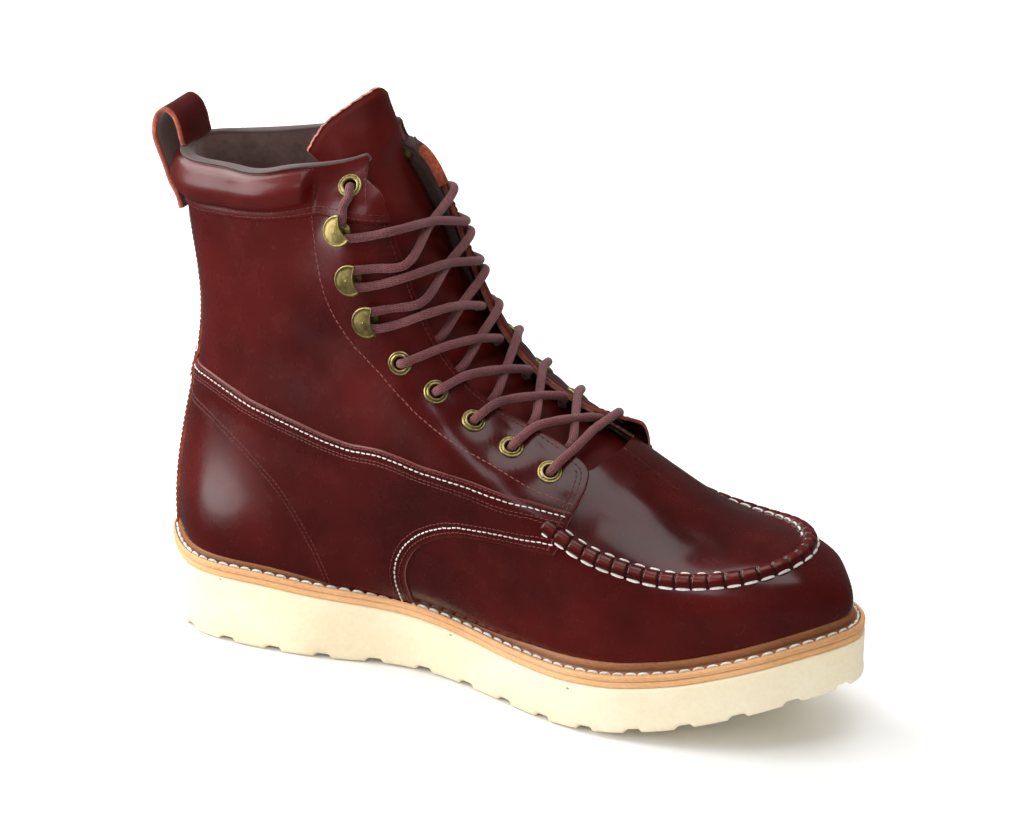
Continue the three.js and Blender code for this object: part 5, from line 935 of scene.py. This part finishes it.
BACK_HALF = 11.0
def height_back(P, uv):
    q = over_quarter(uv); return EDGE + .85 * ramp01((q + 7.5) / 5.0) * (q < 2.6) + 1.15 - .35 * ramp01((q - 1.5) / 2.5) * 0
def height_strip(P, uv):
    q = over_quarter(uv); step = EDGE + .85 * ramp01((q + 7.5) / 5.0) - .85 * ramp01((q - 2.2) / 3.0)
    return step + 1.15
def make_back():
    va = float(low_v(A([0.0]))[0]); h = BACK_HALF / F.len; n = 240; v = np.linspace(.012, va - .006, n)
    wid = h * (1.0 + .10 * np.cos(np.linspace(0, np.pi, n)))
    loop = np.r_[np.c_[wid, v], np.c_[-wid[::-1], v[::-1]]]
    panel("backstay_strip", loop, 1.15, height_strip, grid=1.6, replaces=("backstay",), mats=(STRAP, RAW))
    red = Heap()
    for s in (-1, 1):
        L = np.c_[s * (wid - 2.0 / F.len), v]; H = height_strip(None, np.c_[np.abs(L[:, 0]), L[:, 1]]); L2 = even(L, .5)
        for i0 in range(0, n - 13, 12): sew(red, L[i0:i0 + 13], 2.1, .55, .2, .12, high=float(H[i0 + 6]))
    red.done("backstay_stitches", (RED_THREAD,), "upper_leather")
    # pull loop: one strap bent over the collar, both ends sewn down at the back
    out = [(10.2, 172), (8.6, 177), (5.2, 183), (3.2, 188.5), (1.0, 194.5), (-.9, 200.5), (-1.2, 206), (.6, 210.6), (4.4, 212.9), (8.6, 211.0), (11.0, 206.4), (11.6, 202.6), (12.3, 199.0)]
    C = curve([(x, 0, z) for x, z in out], 90); n = 90; half = 10.3; m = 15; t = 1.05; y = np.linspace(-half, half, m)
    Tn = unit(np.gradient(C, axis=0)); Nn = np.c_[-Tn[:, 2], 0 * Tn[:, 0], Tn[:, 0]]; Nn = -Nn if (Nn[45] * [-1, 0, 1]).sum() < 0 else Nn
    lift = np.zeros((n, m)); s = np.linspace(0, 1, n)[:, None]; yy = (y / half)[None]
    lift += .5 * np.sin(s * 19) * yy ** 2 * .4 + .35 * np.sin(yy * 2 + s * 7) - .6 * yy ** 2 * np.sin(np.pi * s)
    top = C[:, None] + Nn[:, None] * (t + lift)[..., None] + np.stack([0 * s + 0 * yy, -1.0 + y[None] + .25 * np.sin(s * 21), 0 * s + 0 * yy], -1)
    bot = top - Nn[:, None] * (2 * t)
    ringp = np.concatenate([top, top[:, -1:] + [0, .28, 0] - Nn[:, None] * t, bot[:, ::-1], bot[:, :1] + [0, -.28, 0] + Nn[:, None] * t], 1); M2 = ringp.shape[1]
    V, q, t3 = capped(ringp); j = q[:, 0] % M2; j2 = q.max(1) % M2
    lab = lambda k: np.where(k < m - 1, 0, np.where(k <= m, 1, np.where(k < 2 * m, 2, 1)))
    idx = lab(q.min(1) % M2); idx = np.where((q % M2).max(1) - (q % M2).min(1) > 5, 1, idx)
    vol = oriented(V, q) is q
    if not vol: t3 = t3[:, ::-1]
    worn = np.zeros((n, M2)); worn[:, [0, m - 1, m, m + 1, 2 * m, 2 * m + 1]] = .7; worn = np.r_[worn.ravel(), 1, 1]
    mesh("pull_strap", V, t3, oriented(V, q), (STRAP, RAW, FLESH), index=np.r_[idx, np.ones(len(t3))], attrs={"worn": worn}, replaces=("pull_loop",))
make_back()
# ------------------------------------------------------------------ hand-sewn ridge
MOC = [(186, -41.0, 80.6), (204, -42.8, 73), (222, -42.2, 69), (240, -39.2, 67), (256, -34, 68), (268, -27, 70), (276, -18, 71.8), (279.5, -8, 72.5),
       (279.3, 0, 72.3), (275, 12, 71.3), (265, 24, 69.3), (252, 32.2, 67.5), (238, 36, 67), (220, 39, 69), (204, 40, 72.8), (188, 41.0, 79.2)]
def make_ridge():
    line = curve(MOC, 44); av = np.concatenate([F.find(line[i:i + 1], -1 if line[i, 1] < -4 else (1 if line[i, 1] > 4 else 0)) for i in range(len(line))])
    P0 = F.at(av[:, 0], av[:, 1]); N0 = F.nrm(av[:, 0], av[:, 1]); n = 620
    both2 = curve(np.c_[P0, N0 * 20], n); C, N = both2[:, :3], unit(both2[:, 3:])
    Tn = unit(np.gradient(C, axis=0)); B = unit(np.cross(Tn, N)); B *= np.sign((B * (C - A([235, 0, 75]))).sum(1).mean())     # B points outwards from the apron
    N = unit(np.cross(B, Tn)); N *= np.sign(N[:, 2:3].mean()) if (N[:, 2].mean() != 0) else 1
    d = np.r_[0, np.cumsum(np.linalg.norm(np.diff(C, axis=0), axis=1))]; L = d[-1]; k = int(round(L / 6.3)); ph = d / L * k
    near_cut = np.abs(ph - np.round(ph)) * (L / k)                       # mm from a pucker line
    cut = np.exp(-(near_cut / .42) ** 2); swell = np.sin(np.pi * (ph % 1)) ** .6
    prof = []; lift = .1
    for w, h in ((-3.4, -.9), (-3.05, .2), (-2.75, 1.0), (-2.3, 1.9), (-1.6, 2.55), (-.8, 2.9), (0, 3.0), (.9, 2.85), (1.7, 2.45), (2.35, 1.75), (2.8, .9), (3.1, .1), (3.5, -.9)):
        top = np.clip((h + .2) / 2, 0, 1)
        ww = w * (1 - .06 * cut + .03 * swell); hh = h * .92 + top * (.22 * swell - .85 * cut) + lift
        prof.append(C + B * ww[:, None] + N * hh[:, None])
    G = np.stack(prof, 1); m = G.shape[1]; Q = grid_quads(n, m); V = G.reshape(-1, 3)
    fn = np.cross(V[Q[:, 1]] - V[Q[:, 0]], V[Q[:, 3]] - V[Q[:, 0]])
    if (fn * N[Q[:, 0] // m]).sum() < 0: Q = Q[:, ::-1]
    # painted shade darkens the pucker grooves and both feet of the ridge
    dark = (cut[:, None] * np.clip(1 - np.abs(np.linspace(-1, 1, m))[None] ** 6, .6, 1) * .85); edge = np.zeros((n, m)); edge[:, [0, 1, m - 2, m - 1]] = .55
    worn = np.zeros((n, m)); worn[:, 5:8] = .5 * (1 - cut[:, None]); worn[:, 2:4] = .25
    mesh("apron_ridge", V, None, Q, (LEATHER,), attrs={"dark": np.maximum(dark, edge).ravel(), "worn": worn.ravel()}, replaces=("moc_seam",))
    # the heavy white thread lies along both feet of the ridge, longer outside
    H = Heap()
    def dash(c0, half, off, hgt, r):
        t = np.linspace(-1, 1, 7); w = np.clip(c0 + half * t, 0, L); at = lambda X: np.stack([np.interp(w, d, X[:, q]) for q in range(3)], 1)
        c, nn, bb = at(C), unit(at(N)), unit(at(B)); base = c + bb * (off * (1 - .05 * np.abs(t) ** 2))[:, None]
        P = base + nn * (hgt + .25 - .8 * r * np.abs(t) ** 3)[:, None]
        V, q, t3 = capped(tube_pts(P, r * (1 - .35 * np.abs(t) ** 5), 7, up=nn, flat=.8)); H.add(V, q, t3)
    for i in range(k):
        c0 = (i + .5) * L / k; t = c0 / L
        dash(c0 + rng.normal(0, .08), 2.55 * rng.uniform(.94, 1.03), 3.35, .35, .62)
        fade = min(1.0, abs(t - .46) / .30)                              # inner stitches sink in round the toe
        if fade > .45 and t < .5 or t > .56: dash(c0 + .6 + rng.normal(0, .1), (2.0 if t < .5 else 2.5) * min(1, fade + .25), -3.2, .1 + .2 * fade, .5 if t < .5 else .6)
    H.done("apron_thread", (WHITE_THREAD,), "upper_leather")
make_ridge()

# ------------------------------------------------------------------ tongue
def make_tongue():
    # x, z of the middle, half width, drop of the sides, for rows from the toe end up
    rows = [(212, 89.0, 15, 2.2), (200, 94.3, 18, 3.2), (190, 97, 21, 3.8), (172, 102.5, 25, 5.5), (156, 109, 27, 7), (142, 117.5, 28.5, 9), (130, 130, 29, 10.5), (121, 146, 28, 11.5), (113.5, 165, 26.5, 11.5), (107, 184, 24.5, 10.5), (101.5, 200, 20.5, 9)]
    hs = np.array([-1.16, -1, -.75, -.4, 0, .4, .75, 1, 1.16]); G = []
    for i, (x, z, w, dr) in enumerate(rows):
        a, b = rows[max(0, i - 1)], rows[min(len(rows) - 1, i + 1)]; t = unit(A([b[0] - a[0], 0, b[1] - a[1]])); n = A([t[2], 0, -t[0]]); n = -n if n[0] + n[2] < 0 else n
        rise = 3.4 * np.sin(np.pi * np.clip((i - 1.0) / 8.5, 0, 1)) ** .6
        far = np.clip((i - 3) / 3, 0, 1)                                    # the outer half lies wider up the shaft
        G.append([A([x, h * w * (1 + .2 * far * (h > 0)), z]) + n * (-dr * (1 - .1 * rise) * (1 - .25 * far * (h > 0)) * abs(h) ** 2.2 - 2.2 + rise) for h in hs])
    # the free end: its inner corner flares back over the collar, its peak leans to the outer side
    G.append([A(p) for p in ((79, -20.5, 205), (81.5, -20.0, 206.5), (88, -16.5, 209), (95.2, -8, 212), (98.2, 1, 213), (98.4, 9, 212.5), (95.5, 15, 211), (91, 18.6, 209.5), (88, 20.4, 208.5))])
    G.append([A(p) for p in ((74.6, -22.2, 209.8), (75.6, -21.4, 212.5), (79.0, -15.5, 220), (84.5, -7, 225.2), (89, 0, 228.6), (91, 6.5, 229.6), (91.2, 13, 226), (89.6, 17.3, 221.5), (87.4, 19.6, 218))])
    G = np.array(G, float); n, m = 190, 64
    C1 = np.stack([curve(G[:, j], n) for j in range(G.shape[1])], 1); C2 = np.stack([curve(C1[i], m) for i in range(n)], 0)
    dU, dV = np.gradient(C2, axis=0), np.gradient(C2, axis=1); N = unit(np.cross(dV, dU)); N *= np.sign((N[95, 32] * [1, 0, 1]).sum())
    s, y = np.linspace(0, 1, n)[:, None], np.linspace(-1, 1, m)[None]
    # soft buckles under the lacing and lengthwise gusset folds at both sides
    buck = sum(aa * np.exp(-(((s - c) + .035 * y + .02 * np.sin(3 * y + c * 9)) / w) ** 2) * np.exp(-((y - y0) / yw) ** 2) for aa, c, w, y0, yw in
               ((-1.3, .50, .018, .1, .8), (.9, .535, .02, .2, .8), (-1.0, .60, .016, -.2, .6), (.7, .63, .02, -.1, .6), (-.9, .42, .016, .3, .6), (.6, .45, .018, .2, .6), (-1.1, .70, .014, .35, .5), (.6, .73, .02, .3, .5), (-.7, .33, .014, -.2, .5), (-.5, .80, .02, .1, .9)))
    fold = (-1.0 * np.exp(-((np.abs(y) - .70) / .05) ** 2) + .55 * np.exp(-((np.abs(y) - .80) / .06) ** 2)) * np.clip((.78 - s) / .1, 0, 1) * np.clip((s - .12) / .1, 0, 1)
    top = C2 + N * (buck + fold)[..., None]; bot = top - N * 1.9
    # the cut edge of the free end is a little ragged
    rag = .3 * np.sin(np.arange(m) * 1.7) * np.sin(np.arange(m) * .61); top[-1] += unit(dU[-1]) * rag[:, None]; bot[-1] += unit(dU[-1]) * (rag * .6)[:, None]
    R = np.concatenate([top, (top[:, -1:] + bot[:, -1:]) / 2 + unit(dV[:, -1:]) * .5, bot[:, ::-1], (top[:, :1] + bot[:, :1]) / 2 - unit(dV[:, :1]) * .5], 1); M2 = R.shape[1]
    V = np.r_[R.reshape(-1, 3)]; Q = grid_quads(n, M2, closed_m=True)
    j = np.arange(m - 1); lastrow = (n - 1) * M2; mids = (top[-1] + bot[-1]) / 2 + unit(dU[-1]) * .7; V = np.r_[V, mids]; q0 = n * M2
    e1 = np.c_[lastrow + j, lastrow + j + 1, q0 + j + 1, q0 + j]; bt = lambda k: lastrow + m + 1 + (m - 1 - k); e2 = np.c_[q0 + j, q0 + j + 1, bt(j + 1), bt(j)]
    b0 = lambda k: m + 1 + (m - 1 - k); e3 = np.c_[j + 1, j, b0(j), b0(j + 1)]
    t3 = np.array([[lastrow + m - 1, lastrow + m, q0 + m - 1], [lastrow + m, lastrow + m + 1, q0 + m - 1], [lastrow + M2 - 1, lastrow, q0], [lastrow + 2 * m, lastrow + M2 - 1, q0]])
    allq = np.r_[Q, e1, e2, e3]; o = oriented(V, allq); same = o is allq
    kq = Q % M2; lo = kq.min(1); hi = kq.max(1); idx = np.where(hi < m, 0, np.where((lo >= m + 1) & (hi <= 2 * m), 2, 1)); idx = np.where((hi - lo > 5), 1, idx)
    idx = np.r_[idx, np.ones(len(e1) + len(e2)), np.ones(len(e3)) * 2, np.ones(4)]
    worn = np.zeros((n, M2)); worn[:, [0, m - 1]] = .8; worn[n - 3:, :m] = .6; worn[:, :m] += np.clip(np.abs(buck + fold) * .35, 0, .5); worn = np.r_[np.clip(worn, 0, 1).ravel(), np.ones(m)]
    mesh("tongue_leather", V, t3 if same else t3[:, ::-1], o, (TONGUE_SKIN, RAW, FLESH), index=idx, attrs={"worn": worn}, replaces=("tongue",))
make_tongue()

# ------------------------------------------------------------------ brass
def frame_at(sp, side):
    n = sp["n"]; t = A([.45, -side, 0.0]); t = unit(t - (t @ n) * n); return t, np.cross(n, t), n           # t points to the throat
def leather_top(i, side=-1): return EDGE + (.95 if i == 1 else 0.0) + float(sprung(SPOTS[i, side]["p"]))

def make_brass():
    rings, hooks = Heap(), Heap(); names_r, names_h = [], []
    for (i, side), sp in SPOTS.items():
        X, Y, Z = frame_at(sp, side); put = lambda P: sp["p"] + P[..., 0:1] * X + P[..., 1:2] * Y + P[..., 2:3] * Z; h0 = leather_top(i, side); tag = ("m" if side < 0 else "l") + str(i)
        if not sp["hook"]:
            names_r.append("eyelet_" + tag); n = 56; a = np.linspace(0, 2 * np.pi, n, endpoint=False)
            prof = [(2.62, -5.2), (2.62, -2.0), (2.55, h0 - .3), (2.5, h0 + .55), (2.62, h0 + .95), (2.95, h0 + 1.22), (3.35, h0 + 1.27), (3.62, h0 + 1.08), (3.72, h0 + .98), (4.2, h0 + .93), (4.35, h0 + 1.0), (4.6, h0 + .9), (4.82, h0 + .62), (4.92, h0 + .25), (4.85, h0 - .2), (3.6, h0 - .5), (2.9, h0 - 2.0), (2.9, -5.2)]
            R = []
            for k, (r, z) in enumerate(prof):
                # small tick marks pressed into the flat of the flange
                tick = .17 * (np.cos(a * 22) > .1) * (k in (8, 9)); R.append(np.stack([r * np.cos(a), r * np.sin(a), z - tick], -1))
            G = put(np.stack(R, 1)); dark = np.zeros((n, len(prof))); dark[:, [0, 1, 2]] = 1; dark[:, 3] = .5; dark[:, 8] = .75; dark[:, 9] = .25; dark[:, 13] = .5; dark[:, 14] = 1
            dark[:, 9] += .5 * (np.cos(a * 22) > .1)
            rings.add(G.reshape(-1, 3), grid_quads(n, len(prof), closed_n=True, closed_m=True), dark=np.clip(dark, 0, 1).ravel())
        else:
            names_h.append("hook_" + tag); a = np.pi * (.33 + 1.34 * np.linspace(0, 1, 33)); rim = np.c_[-.6 + 6.3 * np.cos(a), 6.3 * np.sin(a)]
            y = np.linspace(rim[-1, 1], rim[0, 1], 12)[1:-1]; rim = np.r_[rim, np.c_[1.0 + 1.9 * (y / 5.6) ** 2 * .95, y]]; c = A([-1.9, 0]); n = len(rim)
            lev = [(.02, 6.65), (.6, 6.62), (.93, 6.6), (.985, 6.75), (1.0, 7.05), (1.0, 7.4), (.975, 7.68), (.94, 7.8), (.90, 7.8), (.86, 7.66), (.82, 7.6), (.70, 7.66), (.60, 7.7), (.50, 7.72), (.4, 7.74), (.25, 7.77), (.12, 7.78), (.02, 7.8)]
            G = np.stack([np.c_[c + (rim - c) * f, np.full(n, z - .35 * np.clip(np.linalg.norm(rim - c, axis=1) * f / 6.3, 0, 1) ** 2)] for f, z in lev], 1)
            dark = np.zeros((n, len(lev))); dark[:, :3] = .8; dark[:, [9, 10]] = .55; dark[:, 5] = .15; dark[:, 11:] = .12
            V, q, t3 = capped(put(G).transpose(1, 0, 2)); hooks.add(V, q, t3, dark=np.r_[dark.T.ravel(), .8, 0])
            t = np.linspace(0, 2 * np.pi, 24, endpoint=False)
            for prof in ([(0.05, h0 - .6), (3.5, h0 - .6), (3.55, h0 + .2), (3.2, h0 + .5), (1.75, h0 + .62), (1.45, h0 + 1.1), (1.4, 4.0), (1.45, 6.2), (1.9, 6.75), (.05, 6.75)],):
                G = np.stack([np.stack([-1.4 + r * np.cos(t), r * np.sin(t), 0 * t + z], -1) for r, z in prof], 0); V, q, t3 = capped(put(G)); hooks.add(V, q, t3, dark=.35)
    rings.done("eyelets", (BRASS,), "brass", replaces=tuple(names_r)); hooks.done("hooks", (HOOK_BRASS,), "brass", replaces=tuple(names_h))
make_brass()

# ------------------------------------------------------------------ lace
LACE_R = 1.78
def upward(i, side):
    a, b = SPOTS[min(9, i + 1), side]["p"], SPOTS[max(1, i - 1), side]["p"]; return unit(b - a)
def into(i, side, last=False):
    """Over the throat edge and down through an eyelet."""
    sp = SPOTS[i, side]; X, Y, n = frame_at(sp, side); h = leather_top(i, side); e, en = sp["e"], sp["en"]; mid = (sp["p"] + e) / 2
    return [e + en * (h + LACE_R + .25), mid + n * (h + LACE_R + 1.25), sp["p"] + X * 1.5 + n * (h + LACE_R + 1.05), sp["p"] + X * .15 + n * (h + .9), sp["p"] - X * .1 - n * 2.2] + ([] if last else [sp["p"] + X * .5 - n * 5.6])
def out_of(i, side, step=4.2):
    """From inside, under the throat edge and out over the tongue."""
    sp = SPOTS[i, side]; X, Y, n = frame_at(sp, side); e, en = sp["e"], sp["en"]; up = upward(i, side)
    Xe = unit(X - (X @ en) * en)
    return [(sp["p"] + e) / 2 - n * 5.9 + up * step * .6, e - en * 3.6 + Xe * 1.2 + up * step, e + Xe * 5.0 - en * .9 + up * (step + 1.0)]
def round_hook(i, side, last=False):
    sp = SPOTS[i, side]; X, Y, n = frame_at(sp, side); up = upward(i, side); e, en = sp["e"], sp["en"]; h = 4.15; hm = leather_top(i) + LACE_R + .2
    a = [e + en * (hm + .2) - up * 2.3, (e + sp["p"]) / 2 + n * (hm + .5) - up * 3.4, sp["p"] + X * .2 + n * h - up * 3.4, sp["p"] - X * 3.6 + n * h - up * 2.5, sp["p"] - X * 4.9 + n * h, sp["p"] - X * 3.6 + n * h + up * 2.5, sp["p"] + X * .2 + n * h + up * 3.4]
    return a if last else a + [(e + sp["p"]) / 2 + n * (hm + .5) + up * 3.2, e + en * (hm + .3) + up * 2.3]
def crossing(a, b, over, lift=1.0):
    """A middle point of a span over the tongue."""
    return (a + b) / 2 + A([.5, 0, .6]) * (lift + (2.1 if over else -.6))

def make_laces():
    lengths = []; paths = []
    for side in (-1, 1):
        bar = SPOTS[9, -1]["e"] * .5 + SPOTS[9, 1]["e"] * .5 + A([.8, 0, 2.6 + EDGE]); pts = [bar] + into(9, side) + out_of(9, side); s = side
        for i in (8, 7, 6, 5):
            s = -s; nxt = into(i, s); pts += [crossing(pts[-1], nxt[0], s < 0)] + nxt + out_of(i, s)
        for i in (4, 3, 2):
            s = -s; nxt = round_hook(i, s, last=i == 2); pts += [crossing(pts[-1], nxt[0], s < 0, 1.6)] + nxt
        sp = SPOTS[1, s]; X, Y, n = frame_at(sp, s); up = upward(2, s)
        pts += [SPOTS[2, s]["p"] + n * 4.3 + up * 7.6, sp["p"] + n * (leather_top(1) + LACE_R + .9) - up * 4.6, sp["p"] + n * (leather_top(1) + LACE_R + .3) - up * 1.7, sp["p"] + n * (leather_top(1) + .4) - up * .3, sp["p"] - n * 3.4, sp["p"] - n * 6.4]
        paths.append(np.array(pts))
    H = Heap()
    for k, pts in enumerate(paths):
        C = curve(pts, 1500); wob = np.stack([np.sin(np.arange(1500) / 37 + p) * .12 for p in (k, k + 2, k + 4)], 1); C = C + wob * np.clip(np.arange(1500) / 60, 0, 1)[:, None]
        # relax sharp turns a little, the ends held
        for _ in range(10): C[1:-1] += .3 * ((C[:-2] + C[2:]) / 2 - C[1:-1])
        L = length(C); lengths.append(L); d = np.r_[0, np.cumsum(np.linalg.norm(np.diff(C, axis=0), axis=1))]
        m = 16; R = tube_pts(C, LACE_R * (1 + .02 * np.sin(d / 2.1)), m); V, q, t3 = capped(R)
        along = np.r_[np.repeat(d / 2.6, m), 0, 0]; around = np.r_[np.tile(np.arange(m) / m, len(C)), 0, 0]
        # seam of the around value: the last column is folded back so that it doesn't jump
        fold = np.abs(np.r_[np.tile(np.arange(m) / m, len(C)), 0, 0] * 2 - 1)
        H.add(V, q, t3, along=along, around=fold)
    H.done("boot_lace", (LACE,), "lace", replaces=("lace_bar_9",) + tuple("lace_cross_%d" % i for i in range(3, 10)) + ("lace_end_m", "lace_end_l"))
    return lengths
LACE_LENGTHS = make_laces()
print("lace halves mm", [round(v) for v in LACE_LENGTHS])

# the insole stays the CAD's own solid, with a better surface
_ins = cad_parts["insole"]
if _ins.data.materials: _ins.data.materials[0] = INSOLE
else: _ins.data.materials.append(INSOLE)
# ------------------------------------------------------------------ the rest of the scene
def floor_and_lights():
    m = Mat("pale_floor"); m.set(color=(.93, .93, .925, 1), rough=.55, normal=m.bump(m.noise(40, 3, .5), .01, .001), spec=.3)
    # the sweep lies behind and beside the boot and ends shortly in front of it, so that the near side isn't washed out
    n = 60; P, Q = np.meshgrid(np.linspace(-7, 7, n), np.linspace(-.62, 13, n), indexing="ij"); me = bpy.data.meshes.new("floor")
    V = np.c_[(P * .875 - Q * .485).ravel(), (P * .485 + Q * .875).ravel(), np.full(n * n, -.0004)]; me.from_pydata(V.tolist(), [], grid_quads(n, n).tolist()); me.materials.append(m.m)
    ob = bpy.data.objects.new("floor", me); bpy.context.collection.objects.link(ob); ob.visible_glossy = False        # the sweep lights the boot but is not mirrored in its near side
    w = bpy.data.worlds.new("studio"); bpy.context.scene.world = w; w.use_nodes = True
    bg = w.node_tree.nodes["Background"]; bg.inputs[0].default_value = (1, 1, 1, 1); bg.inputs[1].default_value = .1
    def area(name, loc, target, size, power, color=(1, 1, 1), shine=True):
        l = bpy.data.lights.new(name, "AREA"); l.shape = "RECTANGLE"; l.size, l.size_y = size; l.energy = power; l.color = color
        o = bpy.data.objects.new(name, l); bpy.context.collection.objects.link(o); o.location = loc
        o.rotation_euler = (Vector(target) - Vector(loc)).to_track_quat("-Z", "Y").to_euler(); o.visible_glossy = shine; return o
    # seen from the camera, right is (.875,.485), away is (-.485,.875)
    R, D = np.array([.875, .485, 0]), np.array([-.485, .875, 0]); at = lambda r, d, z: tuple(R * r + D * d + np.array([0, 0, z]))
    area("key", at(-1.1, .9, 1.35), (0, 0, .08), (1.5, 1.3), 38)
    area("back_strip", at(.5, 1.35, 1.1), (0, 0, .1), (1.9, 1.2), 19, shine=False)
    area("left_wall", at(-1.5, -.12, .58), (0, 0, .12), (1.1, 1.2), 22)
    area("front_left", at(-.75, -1.35, 1.3), (0, 0, .08), (.8, .5), 4)
    area("top", at(.1, -.2, 1.9), (0, 0, .1), (1.3, 1.3), 15)
    area("front_fill", at(.5, -1.9, .9), (0, 0, .05), (2.4, 1.1), 12, shine=False)
floor_and_lights()
try:
    bpy.context.scene.view_settings.view_transform = "Standard"
except TypeError:
    pass
